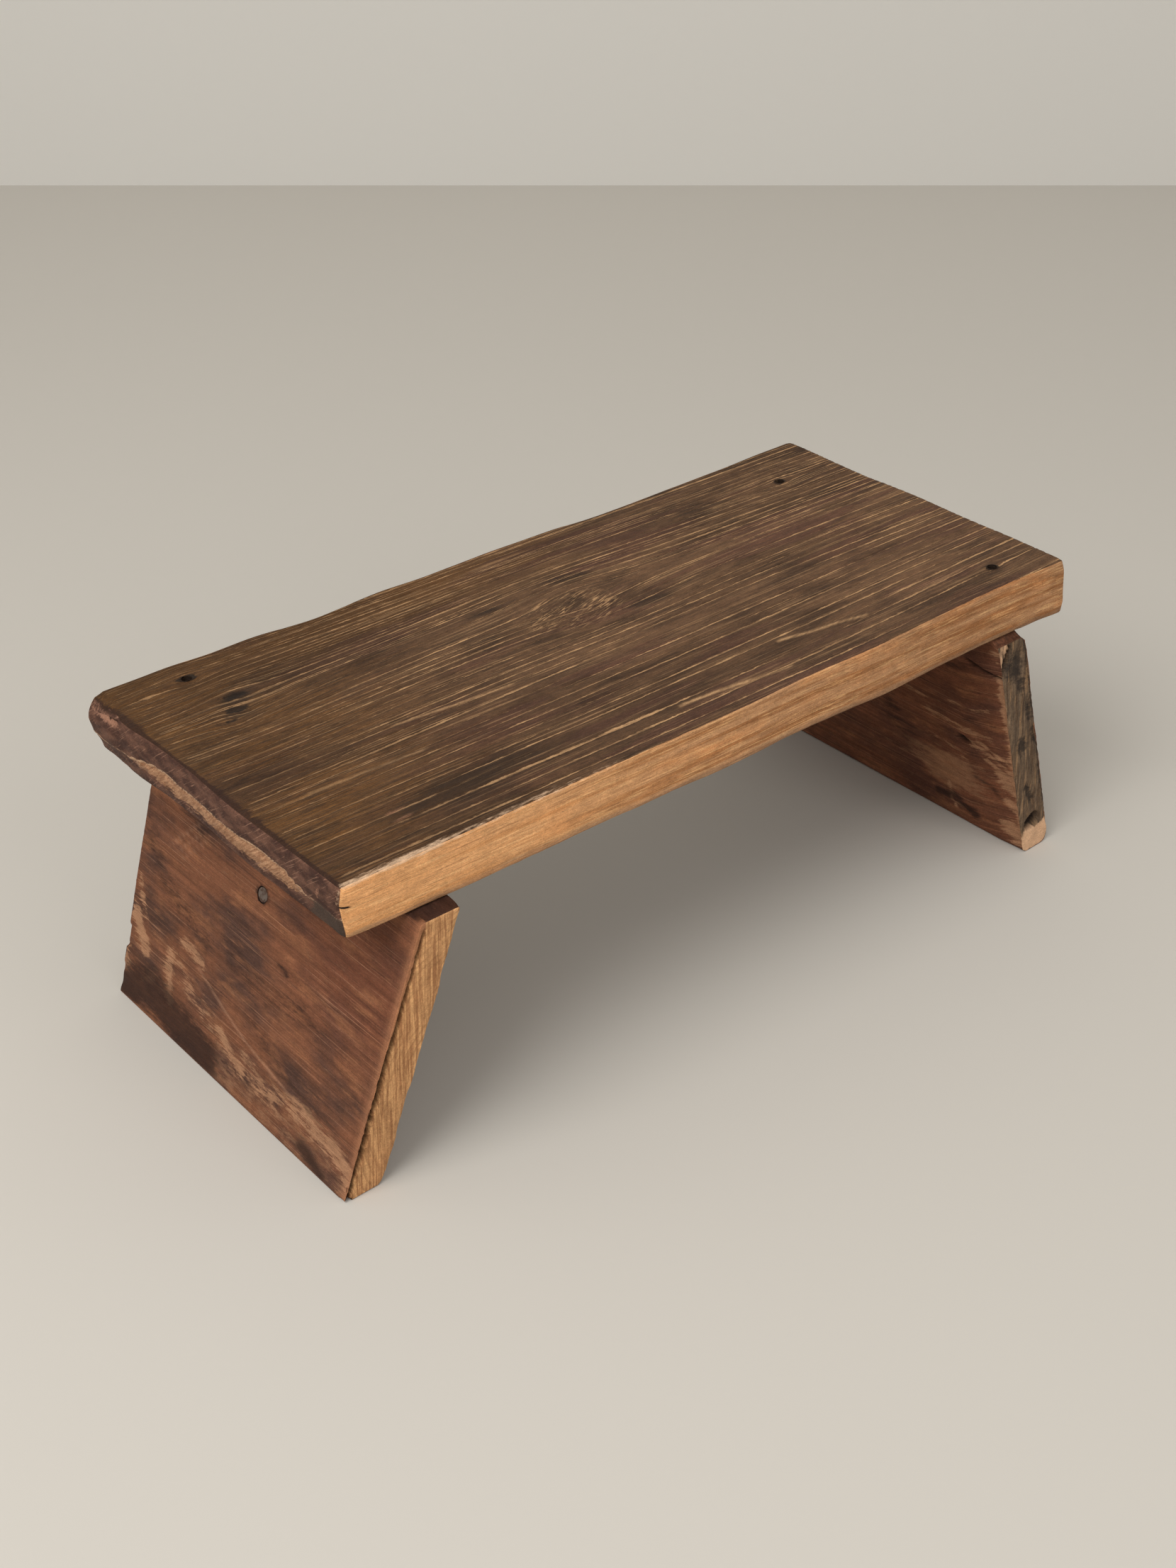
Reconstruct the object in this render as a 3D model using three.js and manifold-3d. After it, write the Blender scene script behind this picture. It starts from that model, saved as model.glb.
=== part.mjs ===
// A low teak bench: a thick plank seat on two leaning slab legs, with a stretcher rail on edge
// under the seat. Nails go down through the seat into each leg, and one broad-headed nail goes
// through each leg into the end of the rail.
//
// Millimetres, +Z up. While the bench is put together, X runs along the seat from its left end,
// Y runs across it from its front edge and Z is the height above the floor. The finished bench
// is then moved so that the origin is the middle of its footprint on the floor.
import * as THREE from 'three';
import { mergeVertices, toCreasedNormals } from 'three/addons/utils/BufferGeometryUtils.js';
import Module from 'manifold-3d';

const wasm = await Module();
wasm.setup();

// Seat plank
const SEAT_LENGTH = 600;
const SEAT_WIDTH = 265;
const SEAT_THICKNESS = 39;
const SEAT_HEIGHT = 220; // floor to the top of the seat
const SEAT_ARRIS = 2.4; // worn edge round the top and the underside
const SEAT_CORNER_ROUNDING = 1.6; // of the four upright corners, inside the worn edge
const SEAT_EDGE_WAVE = 4; // how far the sawn edges wander from straight
const FRONT_FACE_TWIST = 4.2; // lower front edge: set back at the left end, proud at the right
const END_RIDGE = 1.2; // the hewn left end stands out to a ridge
const END_RIDGE_DEPTH = 13.5; // the ridge's depth below the top
const END_UNDERCUT = 4.2; // and falls back again to the underside
const BROKEN_CORNER = { length: 7, width: 38, depth: 6 }; // chipped off the back left corner

// Legs: one slab each, sawn level where it meets the seat and the floor. Insets are measured to
// the outer face from the seat's own end, and a foot past that end has a negative inset. Front
// and back say how far the slab's two ends stand out past the seat's front and back edges, at the
// top and at the foot. The corners of each end are rounded by shares of the slab's thickness.
const LEG_THICKNESS = 28.5; // square to the faces
const LEG_ARRIS = 1.4; // worn edges round the front and back ends
const LEFT_LEG = {
  topInset: 45,
  footInset: -12,
  frontTop: 8,
  frontFoot: -3,
  backTop: 4,
  backFoot: -1,
  cornerShares: { outerTop: 0.03, innerTop: 0.1, innerFoot: 0.14, outerFoot: 0.03 },
};
const RIGHT_LEG = {
  topInset: 41,
  footInset: 1,
  frontTop: 5,
  frontFoot: 20,
  backTop: 2,
  backFoot: -5,
  cornerShares: { outerTop: 0.16, innerTop: 0.03, innerFoot: 0.03, outerFoot: 0.3 },
};

// Stretcher rail
const RAIL_HEIGHT = 85;
const RAIL_THICKNESS = 28;
const RAIL_ARRIS = 1.2;
const RAIL_CORNER_ROUNDING = 0.8;
const RAIL_OFF_MIDDLE = 0.5; // behind the middle of the seat's width

// Nails. Those in the seat have small heads, and the ones through the legs are broad-headed.
const NAIL_LENGTH = 75;
const NAIL_SHANK_RADIUS = 2.3;
const NAIL_POINT = 8;
const NAIL_HEAD_THICKNESS = 1.6;
const NAIL_HEAD_ARRIS = 0.4;
const SEAT_NAIL_HEAD_RADIUS = 3.2;
const SEAT_NAIL_SINK = 3; // heads punched below the seat's top
const LEG_NAIL_HEAD_RADIUS = 5;
const LEG_NAIL_SINK = 0.2;
const LEG_NAIL_DROP = 50.5; // seat's underside to the head in the leg's outer face

// Where the heads lie in the seat's top: from its end over the leg, and from its front or back edge.
const LEFT_FRONT_NAIL = { fromEnd: 66, fromEdge: 38 };
const LEFT_BACK_NAIL = { fromEnd: 55.5, fromEdge: 19 };
const RIGHT_FRONT_NAIL = { fromEnd: 47.5, fromEdge: 25 };
const RIGHT_BACK_NAIL = { fromEnd: 57, fromEdge: 46 };

// Fits and mesh fineness
const JOINT_GAP = 0.3; // between pieces that bear on each other, and round each nail
const CUT_OVERRUN = 5; // how far a cut goes past the face that it opens
const NAIL_SIDES = 16;
const CREASE_ANGLE = Math.PI / 5;

// Outline of the seat seen from above, as shares: along the length, then how much of
// SEAT_EDGE_WAVE the edge stands out there. The ends run across the width in the same way.
const frontEdgeShares = [
  [0.3, 0.1], [0.48, 0.35], [0.6, 0], [0.67, 0.3], [0.78, -0.2], [0.9, -0.5],
];
const rightEndShares = [
  [0.15, 0.2], [0.35, 0.1], [0.55, 0.6], [0.72, 0.1], [0.88, 0.6],
];
const backEdgeShares = [
  [0.96, 0.6], [0.85, -0.1], [0.7, -0.7], [0.52, 0.3], [0.36, 0.4], [0.27, -0.7],
  [0.2, 0.2], [0.09, 0.7],
];
const leftEndShares = [
  [0.83, 0.35], [0.6, -0.2], [0.4, 0.3], [0.2, 0.05],
];

const UNDERSIDE = SEAT_HEIGHT - SEAT_THICKNESS;
const LEG_TOP = UNDERSIDE - JOINT_GAP;
const RAIL_TOP = LEG_TOP;
const RAIL_MIDDLE = SEAT_WIDTH / 2 + RAIL_OFF_MIDDLE;
const LEGS = {
  left: { ...LEFT_LEG, side: 'left' },
  right: { ...RIGHT_LEG, side: 'right' },
};

const seatMaterial = new THREE.MeshStandardMaterial({ color: 0x654d39, roughness: 0.75, metalness: 0 });
const leftLegMaterial = new THREE.MeshStandardMaterial({ color: 0x7a5340, roughness: 0.75, metalness: 0 });
const rightLegMaterial = new THREE.MeshStandardMaterial({ color: 0x6b4a36, roughness: 0.8, metalness: 0 });
const railMaterial = new THREE.MeshStandardMaterial({ color: 0x8a6245, roughness: 0.8, metalness: 0 });
const nailMaterial = new THREE.MeshStandardMaterial({ color: 0x68605a, roughness: 0.45, metalness: 0.9 });

// A three.js geometry as a solid that can be cut.
function toSolid(geometry) {
  const bare = geometry.clone();
  bare.deleteAttribute('normal');
  bare.deleteAttribute('uv');
  const merged = mergeVertices(bare);
  const mesh = new wasm.Mesh({
    numProp: 3,
    vertProperties: merged.getAttribute('position').array,
    triVerts: new Uint32Array(merged.index.array),
  });
  return new wasm.Manifold(mesh);
}

// A solid as a geometry again, with its sharp edges kept sharp.
function toGeometry(solid) {
  const mesh = solid.getMesh();
  const geometry = new THREE.BufferGeometry();
  geometry.setAttribute('position', new THREE.BufferAttribute(mesh.vertProperties, mesh.numProp));
  geometry.setIndex(new THREE.BufferAttribute(mesh.triVerts, 1));
  return toCreasedNormals(geometry, CREASE_ANGLE);
}

function cut(geometry, cutters) {
  let solid = toSolid(geometry);
  for (const cutter of cutters) {
    solid = solid.subtract(toSolid(cutter));
  }
  return toGeometry(solid);
}

// Moves every point of a geometry by a function of where it stands.
function reshape(geometry, move) {
  const position = geometry.getAttribute('position');
  const point = new THREE.Vector3();
  for (let i = 0; i < position.count; i += 1) {
    point.fromBufferAttribute(position, i);
    move(point);
    position.setXYZ(i, point.x, point.y, point.z);
  }
  return geometry;
}

// A closed outline through corner points. Each corner is a curve that bends at its middle by the
// arris and the corner's own rounding together, so that the arris can follow it round.
function roundedOutline(corners, arris) {
  const outline = new THREE.Shape();
  corners.forEach(({ at, rounding }, i) => {
    const toBefore = corners[(i + corners.length - 1) % corners.length].at.clone().sub(at);
    const toAfter = corners[(i + 1) % corners.length].at.clone().sub(at);
    const halfAngle = toBefore.angleTo(toAfter) / 2;
    const reach = (arris + rounding) * Math.cos(halfAngle) / Math.sin(halfAngle) ** 2;
    const start = at.clone().add(toBefore.setLength(reach));
    const end = at.clone().add(toAfter.setLength(reach));
    if (i === 0) {
      outline.moveTo(start.x, start.y);
    } else {
      outline.lineTo(start.x, start.y);
    }
    outline.quadraticCurveTo(at.x, at.y, end.x, end.y);
  });
  outline.closePath();
  return outline;
}

// An outline in X and Z made into a slab across the bench, with its arrises taken off. At each
// height the slab reaches from front(z) to back(z), so its two ends can lean.
function slabAcross(outline, width, arris, front, back) {
  const slab = new THREE.ExtrudeGeometry(outline, {
    depth: width - 2 * arris,
    bevelThickness: arris,
    bevelSize: arris,
    bevelOffset: -arris,
    bevelSegments: 2,
    curveSegments: 5,
  });
  slab.rotateX(Math.PI / 2);
  slab.translate(0, width - arris, 0);
  return reshape(slab, (point) => {
    const share = point.y / width;
    point.y = THREE.MathUtils.lerp(front(point.z), back(point.z), share);
  });
}

// Distance of a leg's outer face from the seat's end at a height.
function outerInset(leg, height) {
  return THREE.MathUtils.mapLinear(height, LEG_TOP, 0, leg.topInset, leg.footInset);
}

function splay(leg) {
  return Math.atan2(leg.topInset - leg.footInset, LEG_TOP);
}

function innerInset(leg, height) {
  return outerInset(leg, height) + LEG_THICKNESS / Math.cos(splay(leg));
}

// From a distance off the leg's own end of the seat to a place along the bench.
function alongSeat(leg, inset) {
  return leg.side === 'left' ? inset : SEAT_LENGTH - inset;
}

// Which way a leg's outer face looks.
function outward(leg) {
  const reach = Math.cos(splay(leg));
  return new THREE.Vector3(leg.side === 'left' ? -reach : reach, 0, Math.sin(splay(leg)));
}

// One nail with its head's top at the origin, pointing down. With a clearance it is the hole
// that the nail leaves in the wood, open for some way above the head.
function nailGeometry(ownHeadRadius, clearance = 0, openAbove = 0) {
  const headRadius = ownHeadRadius + clearance;
  const shankRadius = NAIL_SHANK_RADIUS + clearance;
  const underHead = -NAIL_HEAD_THICKNESS - clearance;
  const tip = -NAIL_LENGTH - clearance;
  const profile = [
    new THREE.Vector2(0, tip),
    new THREE.Vector2(shankRadius, tip + NAIL_POINT),
    new THREE.Vector2(shankRadius, underHead),
    new THREE.Vector2(headRadius, underHead),
    new THREE.Vector2(headRadius, openAbove - NAIL_HEAD_ARRIS),
    new THREE.Vector2(headRadius - NAIL_HEAD_ARRIS, openAbove),
    new THREE.Vector2(0, openAbove),
  ];
  const nail = new THREE.LatheGeometry(profile, NAIL_SIDES);
  nail.rotateX(Math.PI / 2);
  return nail;
}

function nailMesh(name, headRadius, head, headDirection) {
  const nail = new THREE.Mesh(toGeometry(toSolid(nailGeometry(headRadius))), nailMaterial.clone());
  nail.name = name;
  nail.position.copy(head);
  nail.quaternion.setFromUnitVectors(new THREE.Vector3(0, 0, 1), headDirection);
  nail.updateMatrix();
  return nail;
}

// Driven down from the seat's top so that its point ends in the middle of the leg's thickness.
function seatNail(name, leg, fromEnd, across) {
  const headHeight = SEAT_HEIGHT - SEAT_NAIL_SINK;
  const tipHeight = headHeight - NAIL_LENGTH;
  const legMiddle = (outerInset(leg, tipHeight) + innerInset(leg, tipHeight)) / 2;
  const head = new THREE.Vector3(alongSeat(leg, fromEnd), across, headHeight);
  const tip = new THREE.Vector3(alongSeat(leg, legMiddle), across, tipHeight);
  return nailMesh(name, SEAT_NAIL_HEAD_RADIUS, head, head.clone().sub(tip).normalize());
}

function frontNail(name, leg, { fromEnd, fromEdge }) {
  return seatNail(name, leg, fromEnd, fromEdge);
}

function backNail(name, leg, { fromEnd, fromEdge }) {
  return seatNail(name, leg, fromEnd, SEAT_WIDTH - fromEdge);
}

// Driven square through a leg's outer face into the end of the rail.
function legNail(name, leg) {
  const height = UNDERSIDE - LEG_NAIL_DROP;
  const head = new THREE.Vector3(alongSeat(leg, outerInset(leg, height)), RAIL_MIDDLE, height);
  head.addScaledVector(outward(leg), -LEG_NAIL_SINK);
  return nailMesh(name, LEG_NAIL_HEAD_RADIUS, head, outward(leg));
}

function nailHoles(nails, headRadius, sink) {
  return nails.map(
    (nail) => nailGeometry(headRadius, JOINT_GAP, sink + CUT_OVERRUN).applyMatrix4(nail.matrix));
}

// The seat's plan: straight sawn edges that wander a little, with small rounded corners.
function seatOutline() {
  const r = (SEAT_ARRIS + SEAT_CORNER_ROUNDING) * Math.SQRT2;
  const front = frontEdgeShares.map(
    ([along, out]) => new THREE.Vector2(along * SEAT_LENGTH, -out * SEAT_EDGE_WAVE));
  const right = rightEndShares.map(
    ([across, out]) => new THREE.Vector2(SEAT_LENGTH + out * SEAT_EDGE_WAVE, across * SEAT_WIDTH));
  const back = backEdgeShares.map(
    ([along, out]) => new THREE.Vector2(along * SEAT_LENGTH, SEAT_WIDTH + out * SEAT_EDGE_WAVE));
  const left = leftEndShares.map(
    ([across, out]) => new THREE.Vector2(-out * SEAT_EDGE_WAVE, across * SEAT_WIDTH));
  const outline = new THREE.Shape();
  outline.moveTo(r, 0);
  outline.splineThru([...front, new THREE.Vector2(SEAT_LENGTH - r, 0)]);
  outline.quadraticCurveTo(SEAT_LENGTH, 0, SEAT_LENGTH, r);
  outline.splineThru([...right, new THREE.Vector2(SEAT_LENGTH, SEAT_WIDTH - r)]);
  outline.quadraticCurveTo(SEAT_LENGTH, SEAT_WIDTH, SEAT_LENGTH - r, SEAT_WIDTH);
  outline.splineThru([...back, new THREE.Vector2(r, SEAT_WIDTH)]);
  outline.quadraticCurveTo(0, SEAT_WIDTH, 0, SEAT_WIDTH - r);
  outline.splineThru([...left, new THREE.Vector2(0, r)]);
  outline.quadraticCurveTo(0, 0, r, 0);
  return outline;
}

// The hewn left end: out to a ridge, then back in to the underside.
function hewnEnd(depth) {
  if (depth < END_RIDGE_DEPTH) {
    return -END_RIDGE * depth / END_RIDGE_DEPTH;
  }
  return THREE.MathUtils.mapLinear(depth, END_RIDGE_DEPTH, SEAT_THICKNESS, -END_RIDGE, END_UNDERCUT);
}

function seatPlank() {
  const plank = new THREE.ExtrudeGeometry(seatOutline(), {
    depth: SEAT_THICKNESS - 2 * SEAT_ARRIS,
    steps: 3,
    bevelThickness: SEAT_ARRIS,
    bevelSize: SEAT_ARRIS,
    bevelOffset: -SEAT_ARRIS,
    bevelSegments: 2,
    curveSegments: 2,
  });
  plank.translate(0, 0, UNDERSIDE + SEAT_ARRIS);
  return reshape(plank, (point) => {
    const depth = SEAT_HEIGHT - point.z;
    const along = point.x / SEAT_LENGTH;
    const across = point.y / SEAT_WIDTH;
    const depthShare = depth / SEAT_THICKNESS;
    point.x += hewnEnd(depth) * (1 - along);
    point.y += FRONT_FACE_TWIST * (1 - 2 * along) * depthShare * (1 - across);
  });
}

// The split at the back left corner: a sloping flake taken off the top.
function brokenCornerCut() {
  const { length, width, depth } = BROKEN_CORNER;
  const flake = new THREE.Shape();
  flake.moveTo(-length, CUT_OVERRUN);
  flake.lineTo(length, CUT_OVERRUN);
  flake.lineTo(length, 0);
  flake.lineTo(-length, -2 * depth);
  flake.closePath();
  const cutter = new THREE.ExtrudeGeometry(flake, { depth: width + CUT_OVERRUN, bevelEnabled: false });
  cutter.rotateX(Math.PI / 2);
  cutter.translate(0, SEAT_WIDTH + SEAT_EDGE_WAVE + CUT_OVERRUN, SEAT_HEIGHT);
  return reshape(cutter, (point) => {
    const backShare = (point.y - SEAT_WIDTH + width) / width;
    if (point.z <= SEAT_HEIGHT) {
      point.z += depth * (1 - backShare);
    }
  });
}

function legSlab(leg) {
  const { outerTop, innerTop, innerFoot, outerFoot } = leg.cornerShares;
  const place = (inset, height) => new THREE.Vector2(alongSeat(leg, inset), height);
  const outline = roundedOutline([
    { at: place(outerInset(leg, LEG_TOP), LEG_TOP), rounding: outerTop * LEG_THICKNESS },
    { at: place(innerInset(leg, LEG_TOP), LEG_TOP), rounding: innerTop * LEG_THICKNESS },
    { at: place(innerInset(leg, 0), 0), rounding: innerFoot * LEG_THICKNESS },
    { at: place(outerInset(leg, 0), 0), rounding: outerFoot * LEG_THICKNESS },
  ], LEG_ARRIS);
  const front = (height) => -THREE.MathUtils.mapLinear(height, LEG_TOP, 0, leg.frontTop, leg.frontFoot);
  const back = (height) => (
    SEAT_WIDTH + THREE.MathUtils.mapLinear(height, LEG_TOP, 0, leg.backTop, leg.backFoot));
  return slabAcross(outline, SEAT_WIDTH + leg.frontTop + leg.backTop, LEG_ARRIS, front, back);
}

// The rail on edge under the seat, its ends sawn to the slope of the legs.
function stretcherRail() {
  const end = (leg, height) => {
    const inset = innerInset(leg, height) + JOINT_GAP / Math.cos(splay(leg));
    return new THREE.Vector2(alongSeat(leg, inset), height);
  };
  const bottom = RAIL_TOP - RAIL_HEIGHT;
  const outline = roundedOutline([
    { at: end(LEGS.left, RAIL_TOP), rounding: RAIL_CORNER_ROUNDING },
    { at: end(LEGS.left, bottom), rounding: RAIL_CORNER_ROUNDING },
    { at: end(LEGS.right, bottom), rounding: RAIL_CORNER_ROUNDING },
    { at: end(LEGS.right, RAIL_TOP), rounding: RAIL_CORNER_ROUNDING },
  ], RAIL_ARRIS);
  const front = () => RAIL_MIDDLE - RAIL_THICKNESS / 2;
  const back = () => RAIL_MIDDLE + RAIL_THICKNESS / 2;
  return slabAcross(outline, RAIL_THICKNESS, RAIL_ARRIS, front, back);
}

function woodMesh(name, geometry, material) {
  const mesh = new THREE.Mesh(geometry, material);
  mesh.name = name;
  return mesh;
}

function buildBench() {
  const seatNails = [
    frontNail('seat_nail_left_front', LEGS.left, LEFT_FRONT_NAIL),
    backNail('seat_nail_left_back', LEGS.left, LEFT_BACK_NAIL),
    frontNail('seat_nail_right_front', LEGS.right, RIGHT_FRONT_NAIL),
    backNail('seat_nail_right_back', LEGS.right, RIGHT_BACK_NAIL),
  ];
  const legNails = [
    legNail('leg_nail_left', LEGS.left),
    legNail('leg_nail_right', LEGS.right),
  ];
  const seatNailHoles = nailHoles(seatNails, SEAT_NAIL_HEAD_RADIUS, SEAT_NAIL_SINK);
  const legNailHoles = nailHoles(legNails, LEG_NAIL_HEAD_RADIUS, LEG_NAIL_SINK);
  const allHoles = [...seatNailHoles, ...legNailHoles];

  const bench = new THREE.Group();
  bench.add(woodMesh('seat_plank', cut(seatPlank(), [brokenCornerCut(), ...seatNailHoles]), seatMaterial));
  bench.add(woodMesh('left_leg', cut(legSlab(LEGS.left), allHoles), leftLegMaterial));
  bench.add(woodMesh('right_leg', cut(legSlab(LEGS.right), allHoles), rightLegMaterial));
  bench.add(woodMesh('stretcher_rail', cut(stretcherRail(), legNailHoles), railMaterial));
  bench.add(...seatNails, ...legNails);
  return bench;
}

// The origin goes to the middle of the footprint, on the floor.
function centreOnFloor(bench) {
  const bounds = new THREE.Box3().setFromObject(bench, true);
  const centre = bounds.getCenter(new THREE.Vector3());
  bench.position.set(-centre.x, -centre.y, -bounds.min.z);
  const part = new THREE.Group();
  part.add(bench);
  return part;
}

export default centreOnFloor(buildBench());
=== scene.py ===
"""A low bench of reclaimed teak: a hewn plank seat on two leaning slab legs, with a rail and nails.

Metres, +Z up. Shapes are worked out in the bench's own places: along the seat from its left end,
across it from its front edge, and up from the floor.
"""
import itertools
import math

import bpy
import numpy as np
from bpy.props import FloatProperty, FloatVectorProperty, PointerProperty
from bpy.types import Operator, Panel, PropertyGroup
from mathutils import Matrix, Vector


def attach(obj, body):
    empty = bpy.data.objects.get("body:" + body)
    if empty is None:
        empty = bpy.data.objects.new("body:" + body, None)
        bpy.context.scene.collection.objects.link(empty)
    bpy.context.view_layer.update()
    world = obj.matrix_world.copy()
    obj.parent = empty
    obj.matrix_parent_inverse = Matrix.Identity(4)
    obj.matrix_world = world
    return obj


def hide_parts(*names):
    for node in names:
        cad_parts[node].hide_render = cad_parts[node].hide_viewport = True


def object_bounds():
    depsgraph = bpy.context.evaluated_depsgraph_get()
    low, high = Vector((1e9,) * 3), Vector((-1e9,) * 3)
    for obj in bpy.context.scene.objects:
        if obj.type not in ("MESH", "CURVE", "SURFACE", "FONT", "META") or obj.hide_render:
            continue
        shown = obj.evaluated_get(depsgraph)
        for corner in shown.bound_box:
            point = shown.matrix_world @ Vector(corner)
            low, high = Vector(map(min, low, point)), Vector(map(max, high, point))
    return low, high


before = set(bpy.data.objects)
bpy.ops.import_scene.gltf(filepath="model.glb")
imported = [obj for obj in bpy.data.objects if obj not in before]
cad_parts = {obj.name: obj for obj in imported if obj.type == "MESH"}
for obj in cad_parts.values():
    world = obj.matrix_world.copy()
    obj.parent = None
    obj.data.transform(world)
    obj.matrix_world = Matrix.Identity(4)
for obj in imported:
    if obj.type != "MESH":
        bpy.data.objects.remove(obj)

bl_info = {
    "name": "Low teak bench",
    "version": (1, 0, 0),
    "blender": (4, 5, 0),
    "location": "3D View > Sidebar > Bench",
    "description": "Models a low bench of reclaimed teak and its stage",
    "category": "Object",
}

CAD_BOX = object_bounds()
MM = 0.001


def mm(*lengths):
    """Some lengths in millimetres, as metres."""
    return tuple(length * MM for length in lengths)


def linear(red, green, blue):
    """A colour from its screen values, 0 to 255, as the shaders take it."""
    shares = np.array((red, green, blue)) / 255
    spread = np.where(shares <= 0.04045, shares / 12.92, ((shares + 0.055) / 1.055) ** 2.4)
    return (*spread.tolist(), 1.0)


# Where the seat's front left corner stands over the floor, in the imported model's frame
BENCH_CORNER = np.array(mm(-295.807, -124.539, 0.0))

# Seat plank
SEAT_LENGTH = 600 * MM
SEAT_WIDTH = 265 * MM
SEAT_THICKNESS = 39 * MM
SEAT_HEIGHT = 220 * MM
UNDERSIDE = SEAT_HEIGHT - SEAT_THICKNESS
SEAT_CORNER = 5 * MM
FRONT_FACE_TWIST = 4.2 * MM
END_RIDGE = 1.2 * MM
END_RIDGE_DEPTH = 13.5 * MM
END_UNDERCUT = 4.2 * MM
BROKEN_LENGTH = 7 * MM
BROKEN_WIDTH = 38 * MM
BROKEN_DEPTH = 6 * MM
BROKEN_ROUGHNESS = 0.5 * MM
CORNER_BULGE = 2.6 * MM
RIGHT_BELLY = 2.2 * MM
CORNER_FALL = 8
SEAT_EDGE_WAVE = 4 * MM
SEAT_WEAR_SHARE = 0.35
LEFT_WEAR_SHARE = 0.3
FRONT_CHECK_HEIGHT = 206.5 * MM
FRONT_CHECK_LENGTH = 9 * MM
FRONT_CHECK_SLOPE = 0.3
FRONT_CHECK_FULL_SHARE = 0.6

# Legs
JOINT_GAP = 0.3 * MM
LEG_TOP = UNDERSIDE - JOINT_GAP
LEG_THICKNESS = 28.5 * MM
LEFT_LEG = {
    "side": "left",
    "top_inset": 45 * MM,
    "foot_inset": -12 * MM,
    "front_top": 8 * MM,
    "front_foot": -3 * MM,
    "back_top": 4 * MM,
    "back_foot": -1 * MM,
    "outer_top": 2.2 * MM,
    "inner_top": 4.2 * MM,
    "inner_foot": 5.2 * MM,
    "outer_foot": 2.2 * MM,
    "top_wear": 0.8 * MM,
    "thickness_row_shares": ((0, 0.3, 0.75, 1), (0, 0.14, 0.88, 1)),
}
RIGHT_LEG = {
    "side": "right",
    "top_inset": 41 * MM,
    "foot_inset": 1 * MM,
    "front_top": 5 * MM,
    "front_foot": 20 * MM,
    "back_top": 2 * MM,
    "back_foot": -5 * MM,
    "outer_top": 6 * MM,
    "inner_top": 2.2 * MM,
    "inner_foot": 2.2 * MM,
    "outer_foot": 10 * MM,
    "top_wear": 3.4 * MM,
    "thickness_row_shares": ((0, 0.25, 0.7, 1), (0, 0.12, 0.86, 1)),
}
LEG_WEAR_SHARE = 0.3
PROUD_TOP_ACROSS = mm(5, -4)
PROUD_TOP_START = 166 * MM

# Stretcher rail
RAIL_HEIGHT = 85 * MM
RAIL_THICKNESS = 28 * MM
RAIL_MIDDLE = SEAT_WIDTH / 2 + 0.5 * MM
RAIL_CORNER = 2 * MM
RAIL_ARRIS = 1.2 * MM
RAIL_WEAR_SHARE = 0.3
RAIL_SAW_DEPTH = 0.3 * MM

# Nails
NAIL_LENGTH = 75 * MM
NAIL_SHANK_RADIUS = 2.3 * MM
NAIL_POINT = 8 * MM
NAIL_HEAD_THICKNESS = 1.6 * MM
NAIL_HAMMERING = 0.12 * MM
NAIL_SIDES = 32
NAIL_SEED = 91
NAIL_TIP_SHARE = 0.12
NAIL_HEAD_RING_SHARES = (0.35, 0.3, 0.25)
NAIL_RIM_START_SHARE = 0.95
NAIL_RIM_SHARE = 0.93
SEAT_NAIL_HEAD_RADIUS = 3.2 * MM
SEAT_NAIL_SINK = 3 * MM
LEG_NAIL_HEAD_RADIUS = 5 * MM
LEG_NAIL_SINK = 0.2 * MM
LEG_NAIL_DROP = 50.5 * MM
SEAT_NAILS = (
    ("seat_nail_left_front", LEFT_LEG, mm(66, 38)),
    ("seat_nail_left_back", LEFT_LEG, mm(55.5, 246)),
    ("seat_nail_right_front", RIGHT_LEG, mm(552.5, 25)),
    ("seat_nail_right_back", RIGHT_LEG, mm(543, 219)),
)
LEG_NAILS = (("leg_nail_left", LEFT_LEG), ("leg_nail_right", RIGHT_LEG))
SEAT_HOLE_NAILS = slice(1, 4)  # the first seat nail's hole is filled
LEFT_LEG_NAIL = 4
RIGHT_LEG_NAIL = 5
HOLE_RIM = 0.7 * MM
HOLE_WALL = 0.4 * MM
HOLE_SIDES = 24

# Stage
STAGE_SIZE = 12
STAGE_ROUGHNESS = 0.85
STAGE_SPECULAR = 0.2
WALL_DISTANCE = 1.75
BENCH_MIDDLE = (0, 0, 0.12)
KEY_PLACE = (-1.7, -0.35, 2.1)
KEY_SIZE = 1.6
FILL_PLACE = (0.2, -2.4, 1.5)
FILL_SIZE = 1.8
FILL_SHARE = 0.35
CAMERA_PLACE = (-0.75801, -0.86841, 0.83713)
CAMERA_AZIMUTH = math.radians(-40.4)
CAMERA_TILT = math.radians(57.5)
SENSOR_WIDTH = 36

# Rows of the blocks along each axis, as factors, and the shares that spread them towards the edges
SEAT_ROWS = ((10, 12), (14, 21), (20,))
SEAT_LENGTH_ROW_SHARES = (0.04, 0.0055)
SEAT_WIDTH_ROW_SHARES = (0.02, 0.011)
SEAT_HEIGHT_ROW_SHARES = ((0, 0.15, 0.8, 1), (0, 0.075, 0.92, 1))
LEG_ROWS = ((24,), (9, 10), (12, 14))
LEG_WIDTH_ROW_SHARES = (0.06, 0.009)
LEG_HEIGHT_ROW_SHARES = (0.03, 0.015)
RAIL_ROWS = ((10, 9), (8,), (10, 5))

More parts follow.
